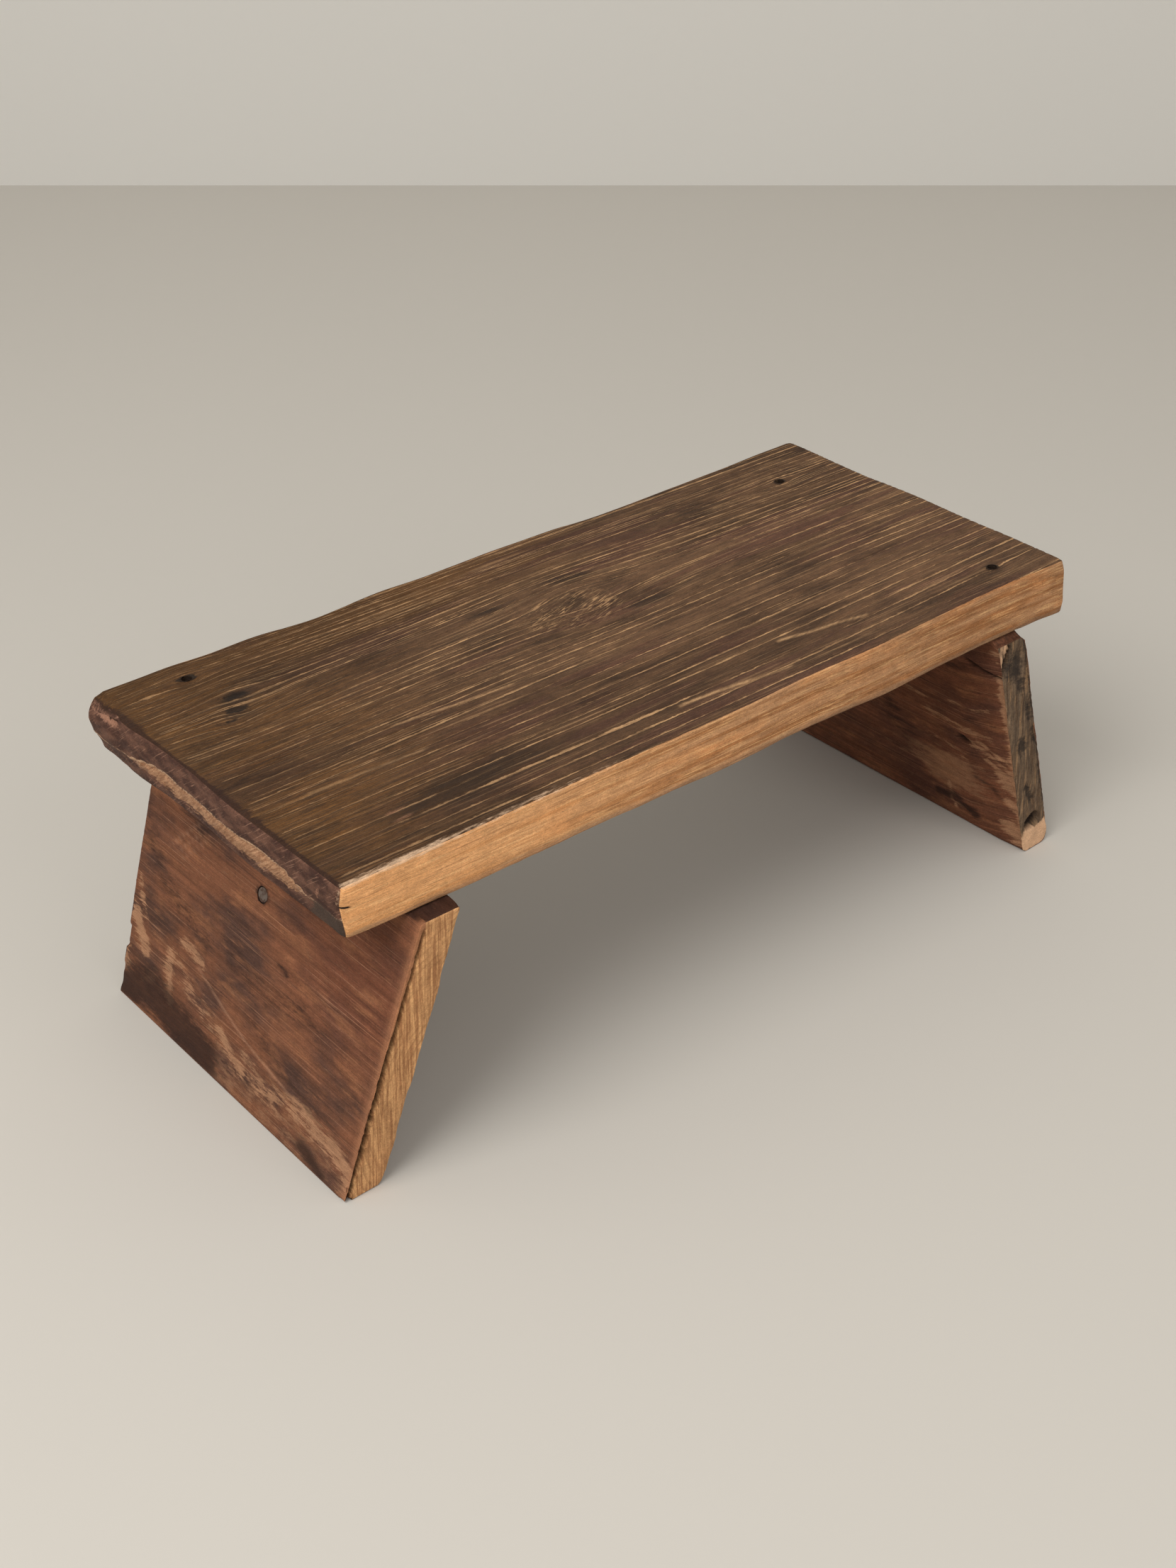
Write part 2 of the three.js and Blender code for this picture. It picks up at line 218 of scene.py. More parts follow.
# How far the seat's edges stand out from straight, as shares along the edge and of SEAT_EDGE_WAVE
FRONT_EDGE_SHARES = (
    (0, 0), (0.15, 0.1), (0.3, 0.1), (0.48, 0.35), (0.6, 0), (0.67, 0.3), (0.78, -0.2), (0.9, -0.5), (1, 0),
)
BACK_EDGE_SHARES = (
    (0, 0.6), (0.09, 0.7), (0.14, 0.3), (0.19, 0.45), (0.27, -0.6), (0.36, 0.35), (0.43, 0), (0.51, 0.35),
    (0.6, 0.05), (0.69, -0.65), (0.77, -0.3), (0.87, -0.1), (0.94, 0.4), (1, 0.6),
)
RIGHT_END_SHARES = (
    (0, 0), (0.15, 0.2), (0.35, 0.1), (0.45, 0.5), (0.6, 0.5), (0.68, 0.1), (0.82, 0.35), (0.93, 0.55),
    (1, 0.5),
)
LEFT_END_SHARES = (
    (0, 0), (0.2, 0.05), (0.4, 0.3), (0.6, -0.2), (0.72, -0.1), (0.83, 0.4), (0.9, 0.2), (1, 0.1),
)

# Noise: the size of its lumps along each axis, and its seed
SEAT_WEAR = (mm(30, 30, 60), 21)
SEAT_FIBRES = (mm(40, 2.1, 20), 31)
SEAT_HOLLOWS = (mm(120, 30, 100), 32)
SAW_MARKS = (mm(7, 20, 30), 33)
PLANED_WAVES = (mm(90, 50, 5), 34)
BOTTOM_SAW_MARKS = (mm(8, 60, 100), 35)
END_FACETS = (mm(50, 28, 12), 36)
END_SCARS = (mm(50, 6, 5), 37)
ARRIS_CHIPS = (mm(6, 9, 10), 38)
FACET_WAVE = (mm(50, 20, 6), 39)
BROKEN_WAVE = (mm(5, 12, 20), 41)
PALE_ARRIS_WAVE = (mm(30, 10, 10), 42)
RIM_WAVE = (mm(10, 6, 10), 43)
LINE_THICKNESS = (mm(200, 60, 1000), 12)
LEG_WEAR = (mm(20, 30, 30), 51)
LEFT_FIBRES = (mm(50, 2.2, 6), 61)
LEFT_LUMPS = (mm(70, 20, 20), 62)
LEFT_TORN_WAVE = (mm(12, 4, 20), 63)
SPLIT_WAVE = (mm(20, 20, 4), 64)
END_SAW_MARKS = (mm(20, 20, 2.2), 65)
LEFT_CHIPS = (mm(10, 12, 9), 66)
LOW_BAND_WAVE = (mm(1000, 30, 1000), 67)
SPLIT_FINE_WAVE = (mm(20, 20, 1.5), 68)
INNER_ARRIS_WAVE = (mm(20, 20, 14), 69)
PITH_RING_WAVE = (mm(30, 30, 30), 70)
RIGHT_FIBRES = (mm(50, 2.2, 6), 71)
RIGHT_LUMPS = (mm(70, 20, 20), 72)
RIGHT_TORN_WAVE = (mm(14, 3, 20), 73)
END_ROUGH = (mm(7, 20, 14), 74)
END_FINE = (mm(2.5, 10, 6), 75)
ARRIS_TEETH = (mm(20, 20, 5.5), 76)
LOW_END_WAVE = (mm(6, 10, 6), 77)
ARRIS_FINE_TEETH = (mm(20, 20, 2.5), 78)
RIGHT_LIT_WAVE = (mm(50, 5, 20), 79)
RAIL_WEAR = (mm(30, 30, 30), 81)
RAIL_SAW_MARKS = (mm(6, 50, 50), 82)
RAIL_FIBRES = (mm(60, 3, 3), 83)

# Pale lines of the seat's top: their counts drift, and each line opens and closes along its length
LONG_DRIFT = mm(350, 60, 60)
NARROW_DRIFT = mm(600, 19, 60)
LONG_OPENING = (190 * MM, 1, 1)
SHORT_OPENING = (20 * MM, 1, 1)
LONG_DRIFT_SHARE = 0.8
NARROW_DRIFT_SHARE = 0.45
NARROW_DRIFT_SEED = 7
LONG_OPENING_SHARE = 0.7
SHORT_OPENING_SHARE = 0.3
CLOSER_BACK_SHARE = 0.35
WIDE_LINES = {
    "spacing": 8.8 * MM,
    "seed": 3,
    "opening_seed": 14,
    "base_share": 0.5,
    "opening_share": 0.75,
    "thickness_share": 0.25,
    "groove": (0.16, 0.04),
    "open": (-0.1, 0.3),
    "widest": 0.085,
}
FINE_LINES = {
    "spacing": 5.1 * MM,
    "seed": 5,
    "opening_seed": 24,
    "base_share": -0.12,
    "opening_share": 0.8,
    "thickness_share": 0.2,
    "groove": (0.2, 0.05),
    "open": (0, 0.3),
    "widest": 0.105,
}
CROWDED_SHARE = 0.5
SPARSE_SHARE = 0.35
FINE_GROOVE_SHARE = 0.7
GRAIN_TILT = 0.55
TILT_START = 3 * MM
KNOT_CORE_SHARE = 1.05
SWIRL_TURN = math.radians(15)

# Spans of the relief: where a mark or a face starts to show, and where it shows in full
LEVEL_FACING = (0.5, 0.95)
SIDE_FACING = (0.45, 0.85)
LEG_TOP_FACING = (0.6, 0.9)
RAIL_SIDE_FACING = (0.85, 0.5)
LEFT_WEAR_REACH = mm(20, 0)
BULGE_ACROSS = mm(225, 242)
BULGE_TOP = mm(3, 11)
BULGE_FOOT = mm(34, 20)
BELLY_ACROSS = mm(45, 10)
BELLY_TOP = mm(0.5, 9)
BELLY_FOOT = (SEAT_THICKNESS, 30 * MM)
LINE_START = mm(12, 2)
CROWDED_BACK = mm(170, 220)
SPARSE_FRONT = mm(100, 50)
FACET_FRONT = mm(32, 62)
FACET_BACK = mm(224, 180)
FACET_INSIDE = (-0.1, 0.15)
FACET_RIDGE = (0.12, 0)
CHIP_EDGE = (0.2, 0.8)
CHIP_ALONG = mm(5, 0.5)
CHIP_DEPTH_SPAN = mm(6, 1)
PALE_ARRIS_DEPTH = mm(4, 1.2)
PALE_ARRIS_ALONG = mm(300, 20)
FRONT_CORNER_REACH = mm(5, 2)
BROKEN_EDGE_ACROSS = mm(222, 236)
BROKEN_EDGE_REACH = mm(4.5, 1)
BLACK_FOOT_ACROSS = mm(46, 32)
BLACK_FOOT_UP = mm(202, 192)
RIM_ALONG = mm(5.5, 2)
RIM_DEPTH = mm(8, 4)
RING_MARK_EDGE = mm(1.5, 0.2)
FRONT_CHECK_WIDTH = mm(1, 0.4)
FRONT_CHECK_ACROSS = mm(5, 2.5)
FRONT_SIDE_REACH = mm(6, 2)
WORN_FRONT_REACH = mm(2, 0.6)
LOW_BAND_EDGE = mm(2, -2)
LOW_BAND_END = mm(165, 150)
LEFT_TORN_EDGE = (0.2, 0.6)
LEFT_HOLLOW_REACH = mm(90, 0)
LEFT_HOLLOW_ACROSS = mm(120, 0)
INNER_ARRIS_INTO = mm(6, 0)
BACK_ARRIS_INTO = mm(3, 0)
BACK_ARRIS_ACROSS = mm(-4, 12)
SPLIT_NARROWING = mm(60, 170)
SPLIT_TURNING = mm(50, 170)
SPLIT_TOP = mm(178, 170)
RIGHT_TORN_EDGE = (0.3, 0.7)
RIGHT_HOLE_EDGE = (0.05, 0.7)
END_HOLE_EDGE = (0.1, 0.6)
END_CHIP_UP = mm(150, 156)
END_CHIP_ALONG = mm(545, 540)
TEETH_INTO = mm(4.5, 0)
TEETH_ACROSS = mm(6, -20)
LOW_END_UP = mm(23, 17)
LOW_END_ALONG = mm(566, 572)
END_RIM_INTO = mm(4, 1.5)
END_RIM_UP = mm(20, 40)

# Depths, heights and strengths of the marks in the wood
BRUSHED_SHARE = 0.9
FIBRE_SHARE = 0.4
HOLLOW_SHARE = 0.7
PLANED_SHARE = 0.6
SAWN_SHARE = 0.35
KNOT_DEPTH = 0.9 * MM
KNOT_SMOOTH_SHARE = 0.6
BOTTOM_SAW_DEPTH = 0.5 * MM
END_FACET_DEPTH = 0.7 * MM
END_SCAR_DEPTH = 0.35 * MM
RIGHT_END_DEPTH = 0.25 * MM
PALE_FACET_DEPTH = 0.9 * MM
CHIP_DEPTH = 0.9 * MM
FACET_REACH = 8 * MM
FACET_MIDDLE = 196.3 * MM
FACET_POINT = 0.7
FACET_WAVER = 0.08
PALE_ARRIS_SLANT = 0.6
PALE_ARRIS_SHARE = 0.8
PALE_ARRIS_WAVER = 0.25
FRONT_CORNER_SHARE = 0.7
BROKEN_EDGE_DEPTH = 5 * MM
BLACK_FOOT_SLANT = 0.6
RIM_WAVER = 0.5 * MM
LOW_FRONT_HEIGHT = 9 * MM
LOW_FRONT_FULL = 1 * MM
RING_MARK_PLACE = mm(66, 38)
RING_MARK_RADIUS = 4.8 * MM
RING_MARK_STRETCH = 1.25
LEFT_FIBRE_DEPTH = 0.28 * MM
LEFT_LUMP_DEPTH = 0.5 * MM
LEFT_TORN_DEPTH = 0.6 * MM
TORN_FRAY_SHARE = 0.3
LOW_BAND_HEIGHT = 27 * MM
LOW_BAND_WAVER = 3 * MM
LOW_BAND_DEPTH = 0.5 * MM
LOW_BAND_SHARE = 0.46
SCRATCH_DEPTH = 0.3 * MM
SPLIT_HALF_WIDTHS = mm(1.7, 0.8)
SPLIT_PLACES = mm(2.3, 3.9)
SPLIT_WAVER = 0.4 * MM
SPLIT_FINE_SHARE = 0.5
SPLIT_OUTSIDE = 0.2 * MM
SPLIT_INSIDE = 0.25 * MM
SPLIT_DEPTH = 4.5 * MM
SPLIT_SIDE_SHARE = 0.9
LIP_OUTSIDE = 0.2 * MM
LIP_INSIDE = 0.4 * MM
WORN_FRONT_SHARE = 0.6
END_SAW_DEPTH = 0.3 * MM
LEFT_HOLLOW_HEIGHT = 100 * MM
LEFT_HOLLOW_DEPTH = 1.6 * MM
INNER_ARRIS_DEPTH = 2.2 * MM
BACK_CHIP_DEPTH = 1.1 * MM
LEFT_BACK_LUMP_DEPTH = 0.8 * MM
RIGHT_BACK_LUMP_DEPTH = 0.6 * MM
BACK_ARRIS_PLACE = 250 * MM
BACK_ARRIS_DEPTH = 1.4 * MM
LEFT_TOP_STAIN = 1.1
RIGHT_TOP_STAIN = 0.65
HOLE_SHARE = 0.8
PITH_PLACE = mm(100, 51)
PITH_RING_SPACING = 4.5 * MM
PITH_RING_WAVER = 0.4
FAN_SLOPE = 0.25
FAN_START = 30 * MM
RIGHT_FIBRE_DEPTH = 0.45 * MM
RIGHT_LUMP_DEPTH = 0.5 * MM
RIGHT_TORN_DEPTH = 0.8 * MM
RIGHT_HOLE_DEPTH = 4 * MM
FACE_CRACK_DEPTH = 2.4 * MM
END_CRACK_DEPTH = 2.6 * MM
END_KNOT_DEPTH = 1.8 * MM
END_HOLE_DEPTH = 5 * MM
END_ROUGH_DEPTH = 1.1 * MM
END_FINE_DEPTH = 0.6 * MM
END_CHIP_DEPTH = 1.4 * MM
TEETH_DEPTH = 2.2 * MM
TEETH_FINE_SHARE = 0.3
RIGHT_LIT_WAVER = 0.35
LOW_END_WAVER = 4 * MM
END_RIM_SHARE = 0.8
RIGHT_RED_SHARE = 0.5
CHIP_LOW_END_SHARE = 0.55

# Knots in the seat: place along and across, radius, stretch along the grain, darkness
SEAT_KNOTS = (
    (312 * MM, 172 * MM, 17 * MM, 2.0, 0.25),
    (66 * MM, 210 * MM, 8 * MM, 1.9, 1.0),
    (60 * MM, 195 * MM, 7 * MM, 1.8, 1.0),
    (50 * MM, 185 * MM, 5 * MM, 1.6, 0.9),
    (56 * MM, 247 * MM, 7 * MM, 1.6, 1.0),
    (26 * MM, 241 * MM, 3 * MM, 1.5, 0.4),
    (543 * MM, 219 * MM, 4.5 * MM, 2.0, 0.8),
    (552.5 * MM, 25 * MM, 4 * MM, 2.0, 0.7),
)

# Oval marks: strength, middle, half length and half width, and turn in degrees
SWIRL_BLOTS = ((1, mm(296, 162), mm(62, 38), -4),)
CROWDED_BLOTS = (
    (1, mm(130, 135), mm(200, 35), -4),
    (1, mm(420, 185), mm(200, 50), 0),
    (1, mm(60, 100), mm(70, 60), 0),
)
DARK_LOBE_BLOTS = (
    (1, mm(322, 200), mm(34, 12), -10),
    (1, mm(344, 140), mm(32, 9), -4),
    (0.8, mm(250, 196), mm(34, 7), -3),
    (0.8, mm(66, 205), mm(26, 16), 20),
    (0.7, mm(58, 188), mm(26, 12), -20),
    (0.85, mm(120, 42), mm(105, 30), 0),
)
PALE_PATCH_BLOTS = ((0.75, mm(22, 206), mm(4, 11), 20),)
LEFT_RED_BLOTS = ((1, mm(25, 125), mm(110, 75), 0),)
RIGHT_HOLE_BLOTS = ((1, mm(33, 79.5), mm(8, 4.6), 10),)
# A painted patch of light low on the right leg's inner face
RIGHT_LIT_BLOTS = ((1, mm(48, 46), mm(70, 34), 0),)

# Long marks in millimetres: half width, strength, and the points that they follow
SEAT_BRIGHT_PATHS = (
    (2.2, 1.0, ((367, 45), (394, 40), (412, 38))),
    (1.8, 0.8, ((412, 38), (436, 33))),
    (2.2, 1.0, ((268, 25), (297, 23), (318, 20))),
    (1.6, 0.7, ((318, 20), (352, 16))),
    (1.8, 0.8, ((120, 118), (160, 114), (205, 111))),
    (1.8, 0.7, ((40, 88), (85, 86), (118, 84))),
)
LEFT_TORN_PATHS = (
    (10, 0.85, ((214, 50), (213, 36), (209, 24))),
    (8, 0.7, ((203, 65), (190, 65), (180, 61))),
    (16, 0.4, ((212, 50), (190, 42), (160, 30))),
    (9, 0.9, ((150, 31), (139, 26), (122, 20))),
    (14, 0.55, ((120, 28), (97, 20), (70, 26))),
    (12, 0.8, ((66, 28), (55, 29), (44, 25), (33, 25))),
    (11, 0.95, ((29, 25), (19, 22), (9, 20), (1, 12))),
    (12, 0.9, ((260, 58), (250, 48), (243, 42))),
    (11, 0.9, ((264, 28), (261, 20))),
    (6, 0.6, ((262, 84), (256, 70), (246, 60))),
    (8, 0.5, ((240, 22), (226, 30))),
)
LEFT_LINE_PATHS = (
    (1.6, 0.7, ((183, 58), (150, 47), (120, 39), (66, 31), (11, 24))),
    (1.4, 0.5, ((232, 118), (208, 142))),
    (1.4, 0.5, ((225, 116), (203, 139))),
    (1.4, 0.4, ((220, 113), (198, 135))),
)
LEFT_STAIN_PATHS = (
    (24, 1.3, ((258, 8), (240, 18), (222, 20), (200, 14), (176, 12), (160, 9))),
    (10, 0.9, ((52, 9), (40, 6), (30, 3))),
    (5, 0.8, ((103, 99), (96, 97))),
    (4, 0.8, ((79, 86), (74, 83))),
    (20, 0.45, ((150, 84), (118, 74), (80, 84), (60, 80))),
    (16, 0.5, ((262, 120), (240, 96), (214, 84), (180, 76))),
    (22, 0.55, ((250, 165), (226, 150), (200, 146))),
    (14, 0.4, ((120, 56), (80, 40), (30, 34))),
)
RIGHT_TORN_PATHS = (
    (7, 1.1, ((-4, 150), (-7, 127), (-10, 107), (-13, 84), (-15, 54), (-18, 29))),
    (9, 0.7, ((-2, 168), (-12, 182))),
    (3, 0.55, ((45, 109), (23, 111), (7, 117))),
    (6, 0.6, ((66, 90), (40, 90), (23, 89), (7, 92))),
    (5, 0.85, ((31, 79), (12, 77), (-6, 71), (-11, 69))),
    (4, 0.85, ((17, 83), (1, 78), (-12, 75))),
    (4, 0.8, ((12, 71), (-2, 67), (-13, 61))),
    (12, 0.9, ((0, 64), (-8, 54), (-14, 50))),
    (8, 0.9, ((-6, 44), (-12, 38), (-16, 32))),
    (16, 1.1, ((-8, 16), (-18, 8), (-20, 18))),
    (3.5, 0.8, ((49, 31), (48, 18), (45, 11))),
    (3, 0.7, ((47, 24), (41, 14), (35, 12))),
    (4, 0.5, ((70, 70), (44, 66), (30, 62))),
    (4, 0.5, ((90, 104), (66, 102))),
)
RIGHT_STAIN_PATHS = (
    (9, 0.9, ((60, 18), (46, 20), (34, 15), (24, 12))),
    (26, 0.5, ((140, 100), (110, 80), (90, 60))),
    (10, 0.5, ((28, 145), (60, 140), (90, 136))),
    (7, 0.4, ((30, 100), (16, 102), (4, 106))),
    (5, 0.6, ((24, 50), (8, 48), (0, 42))),
)
RIGHT_END_KNOT_PATHS = (
    (17, 1.0, ((551, 158), (552, 152))),
    (9, 0.9, ((558, 142), (558, 138))),
    (11, 1.0, ((563, 92), (564, 88))),
    (9, 0.8, ((576, 98), (577, 93))),
    (6, 0.9, ((571, 54), (574, 46), (577, 42))),
    (5, 0.8, ((566, 124), (569, 110))),
)
RIGHT_END_HOLE_PATHS = ((8, 1.0, ((576, 22), (581, 25))),)
RIGHT_FACE_CRACK_PATHS = ((1.8, 1.0, ((24, 154), (11, 151), (-6, 149.5))),)
RIGHT_END_CRACK_PATHS = ((1.8, 1.0, ((545, 181), (544, 172), (541, 162), (538, 155), (530, 150))),)

# Patterns of the finishes: noise with lumps of the given sizes in metres
GRIT_PATTERNS = {
    "dust": {"sizes": mm(1.1, 0.7, 0.7), "detail": 3, "roughness": 0.75, "shift": 11.0},
    "pores": {"sizes": mm(4, 0.8, 0.8), "detail": 2, "roughness": 0.6, "shift": 13.0},
    "scuffs": {"sizes": mm(9, 6, 6), "detail": 4, "roughness": 0.7, "shift": 15.0},
}
SEAT_PATTERNS = {
    "fibres": {"sizes": mm(16, 0.9, 0.9), "detail": 3, "roughness": 0.65},
    "speckle": {"sizes": mm(3, 0.9, 0.9), "detail": 2, "roughness": 0.7},
    "slow": {"sizes": mm(140, 50, 50), "detail": 2},
    "patches": {"sizes": mm(60, 16, 20), "detail": 3, "roughness": 0.55, "shift": 5.0},
    "red_patches": {"sizes": mm(110, 16, 30), "detail": 3, "roughness": 0.5, "shift": 4.0},
    "ragged": {"sizes": mm(8, 1.6, 1.6), "detail": 3, "roughness": 0.7, "shift": 2.0},
    "hairs": {"sizes": mm(90, 1.2, 1.2), "detail": 3, "roughness": 0.55, "shift": 7.0},
    "wear": {"sizes": mm(20, 3, 3), "detail": 3, "roughness": 0.65, "shift": 8.0},
    "bands": {"sizes": mm(160, 4, 4.2), "detail": 3, "roughness": 0.6, "shift": 1.0},
    "sawn_slow": {"sizes": mm(60, 20, 14), "detail": 2, "shift": 2.0},
    "sawn_lines": {"sizes": mm(50, 1, 1.1), "detail": 3, "roughness": 0.6, "shift": 3.0},
    "dashes": {"sizes": mm(35, 0.9, 0.9), "detail": 2, "shift": 6.0},
}
SEAT_BACK_PATTERNS = {
    "old_patches": {"sizes": mm(80, 20, 12), "detail": 3, "roughness": 0.6, "shift": 6.0},
    "saw_marks": {"sizes": mm(3.5, 80, 20), "detail": 2, "roughness": 0.5, "distortion": 0.4},
}
SWIRL_PATTERNS = {
    "strokes": {
        "sizes": mm(16, 1.6, 10), "detail": 3, "roughness": 0.6, "distortion": 1.2, "shift": 9.0,
    },
    "thinned": {"sizes": mm(22, 12, 20), "detail": 3, "roughness": 0.6, "shift": 12.0},
}
HEWN_PATTERNS = {
    "patches": {"sizes": mm(30, 16, 7), "detail": 4, "roughness": 0.6},
    "ragged": {"sizes": mm(10, 8, 1.6), "detail": 3, "roughness": 0.65},
}
SCRATCH_PATTERNS = {
    "scratch": {"sizes": mm(20, 20, 0.9), "detail": 2, "roughness": 0.6, "distortion": 0.5},
    "strokes": {"sizes": mm(20, 12, 1), "detail": 3, "roughness": 0.65, "shift": 3.0},
}
LEG_PATTERNS = {
    "slow": {"sizes": mm(60, 28, 30), "detail": 3, "roughness": 0.55},
    "warm": {"sizes": mm(35, 12, 30), "detail": 3, "roughness": 0.6, "shift": 2.0},
    "bands": {"sizes": mm(160, 4.5, 10), "detail": 3, "roughness": 0.6},
    "fibres": {"sizes": mm(30, 0.9, 3), "detail": 3, "roughness": 0.65},
    "lines": {"sizes": mm(90, 0.9, 4), "detail": 2, "roughness": 0.55, "shift": 6.0},
    "speckle": {"sizes": mm(3, 1.1, 2), "detail": 2, "roughness": 0.7},
    "ragged": {"sizes": mm(14, 3.5, 6), "detail": 4, "roughness": 0.7, "shift": 3.0},
}
LEG_END_PATTERNS = {
    "stripes": {"sizes": mm(1.4, 20, 30), "detail": 3, "roughness": 0.6},
    "pores": {"sizes": mm(0.9, 20, 2), "detail": 3, "roughness": 0.7},
    "fading": {"sizes": mm(20, 20, 20), "detail": 2, "shift": 5.0},
    "broad": {"sizes": mm(20, 20, 30)},
}
WEATHERING_PATTERNS = {
    "old": {"sizes": mm(3.5, 20, 16), "detail": 4, "roughness": 0.65},
    "fresh": {"sizes": mm(3, 20, 30), "detail": 3, "roughness": 0.6, "shift": 4.0},
}
RAIL_PATTERNS = {
    "bands": {"sizes": mm(250, 5, 5), "detail": 3, "roughness": 0.6},
    "fibres": {"sizes": mm(50, 1, 1), "detail": 3, "roughness": 0.6},
    "saw": {"sizes": mm(3.5, 60, 60), "detail": 2, "distortion": 0.3},
}
NAIL_PATTERNS = {
    "patches": {"sizes": mm(2.8, 2.8, 2.8), "detail": 4, "roughness": 0.6},
    "fine": {"sizes": mm(0.6, 0.6, 0.6), "detail": 3},
}

# Spans of the finishes: a pattern, two of its values, and the low and high there if not 0 and 1
GRIT_SHADES = (
    ("dust", 0.3, 0.7, -0.17, 0.17), ("scuffs", 0.3, 0.7, -0.12, 0.1), ("pores", 0.34, 0.26, 0.0, -0.4),
)
TOP_MOTTLE = ("fibres", 0.2, 0.8, -0.08, 0.08)
LEFT_GOLD = (("along", 0.22, 0.0), ("slow", 0.3, 0.6, 0.35, 1.0), ("fibres", 0.35, 0.65, 0.2, 1.0))
BACK_GOLD = (("across", 0.19, 0.25, 0.0, 0.6), ("along", 0.42, 0.22))
RED_PATCHES = (("red_patches", 0.5, 0.64), ("along", 0.08, 0.2, 0.25, 0.7))
BRIGHT_WEAR = ("ragged", 0.3, 0.6, 0.4, 1.2)
LINE_WEAR = ("wear", 0.36, 0.6, 0.35, 1.05)
HAIRS = ("hairs", 0.56, 0.72, 0.0, 0.42)
LINE_FADE = ("along", 0.03, 0.24, 0.5, 1.0)
LINE_IN_SWIRL = ("swirl", 0, 1, 1.0, 0.75)
RING_MARK_WEAR = ("ragged", 0.35, 0.65, 0.2, 0.7)
SWIRL_THINNED = ("thinned", 0.4, 0.6, 0.15, 1.0)
SWIRL_FEATHERS = ("strokes", 0.51, 0.6)
SWIRL_CLEFTS = ("strokes", 0.47, 0.38)
FACET_FRAY = (("ragged", 0.2, 0.8, -0.3, 0.3), ("upper", 0, 1, 1, 0.15))
FACET_SCRATCHES = ("scratch", 0.5, 0.75, 0.0, -0.35)
FACET_SHOWS = ("facet", -0.05, 0.3, 0.0, 0.92)
FACET_RIDGE_SPANS = (("facet", -0.16, 0.0), ("facet", 0.2, 0.04))
SAWN_BANDS = ("bands", 0.35, 0.62)
SEAT_ROUGHNESS = ("fibres", 0.2, 0.8, 0.5, 0.72)
LEG_SKIN = ("slow", 0.34, 0.6)
SCRATCH_WEAR = ("ragged", 0.3, 0.6, 0.2, 0.7)
STAIN_SHOWS = ("stain", 0.15, 1.0, 0.0, 0.88)
END_STRIPES = ("stripes", 0.35, 0.68)
LATE_WOOD = (("ring", 0.45, 0.95), ("ring", 1.0, 0.95), ("fading", 0.35, 0.6, 0.06, 0.42))
LEG_FRONT = ("front", 0.35, 0.65)
LEG_ROUGHNESS = ("fibres", 0.2, 0.8, 0.55, 0.78)
RAIL_SKIN = ("bands", 0.3, 0.65)
RAIL_ROUGHNESS = ("fibres", 0.2, 0.8, 0.6, 0.8)
RUST_SHOWS = ("patches", 0.42, 0.68)
NAIL_ROUGHNESS = ("patches", 0.35, 0.7, 0.42, 0.75)

# Spans for a value that the finish works out, so that they name no pattern
TOP_SKIN = (0.28, 0.62, 0.3, 1.0)
SWIRL_EDGE = (0.15, 0.6)
LINE_WAVER = (0.2, 0.8, -0.06, 0.06)
LINE_OPEN = (-0.1, 1.0, -0.012)
LINE_EDGE = (-0.02, 0.022)
LINE_SHADOW_EDGE = (-0.05, 0.02)
HEWN_UPPER = mm(192, 199)
TORN_STREAKS = (0.4, 0.95, -0.55, 0.5)
TORN_SHOWS = (0.25, 0.8, 0.0, 0.88)
FRAYED_EDGE = (0.35, 0.6)
FACE_EDGE = (0.3, 0.6)
FRAY_ENDS = (0.2, 0.8)
LEG_FRAY_ENDS = (0.25, 0.75)
LOW_END_FRAY_ENDS = (0.3, 0.7)

# Zones with frayed edges: the pattern that frays each, and how far
SEAT_FRAYED_ZONES = (
    ("lobes", "patches", 0.3),
    ("knot_and_hole_shade", "ragged", 0.4),
    ("rim", "ragged", 0.3),
    ("low", "sawn_lines", 0.35),
    ("front", "ragged", 0.25),
    ("back", "ragged", 0.25),
    ("pale", "ragged", 0.4),
    ("pinkish", "ragged", 0.3),
)
BLACK_FRAY = 0.3
LEG_LOW_FRAY = 0.3
STAIN_FRAY = 0.4
LOW_END_FRAY = 0.3

# Layers over a colour: a tone, or SHADE to darken and lighten it, and the span where it shows
SHADE = None
TOP_LAYERS = (
    (SHADE, "fibres", 0.25, 0.75, 0.8, 1.18),
    (SHADE, "speckle", 0.25, 0.75, 0.86, 1.14),
    (SHADE, "slow", 0.3, 0.7, 0.8, 1.14),
    (SHADE, "along", 0.02, 0.36, 0.62, 1.02),
    (SHADE, "across", 0.15, 0.26, 1.0, 0.74),
)
LOBE_LAYERS = ((linear(44, 33, 26), "lobes", 0.1, 0.8, 0.0, 0.75),)
# Dark knots, and painted shade in the nail holes
KNOT_AND_HOLE_SHADE_LAYERS = ((linear(34, 26, 21), "knot_and_hole_shade", 0.3, 0.7, 0.0, 0.9),)
RIM_LAYERS = ((linear(50, 32, 26), "rim", 0.3, 0.8, 0.0, 0.8),)
SAWN_LAYERS = (
    (linear(206, 138, 84), "sawn_slow", 0.5, 0.75, 0.0, 0.6),
    (linear(228, 166, 108), "along", 0.34, 0.0, 0.0, 0.6),
    (linear(234, 184, 128), "sawn_lines", 0.5, 0.68, 0.0, 0.6),
    (linear(112, 74, 48), "dashes", 0.58, 0.72, 0.0, 0.42),
    (linear(124, 98, 78), "low", 0.35, 0.9, 0.0, 0.6),
    (SHADE, "along", 0.0, 0.58, 1.22, 0.88),
    (SHADE, "fibres", 0.25, 0.75, 0.88, 1.1),
    (SHADE, "speckle", 0.3, 0.7, 0.9, 1.07),
)
OLD_BACK_LAYERS = ((SHADE, "old_patches", 0.35, 0.62, 0.42, 0.72),)
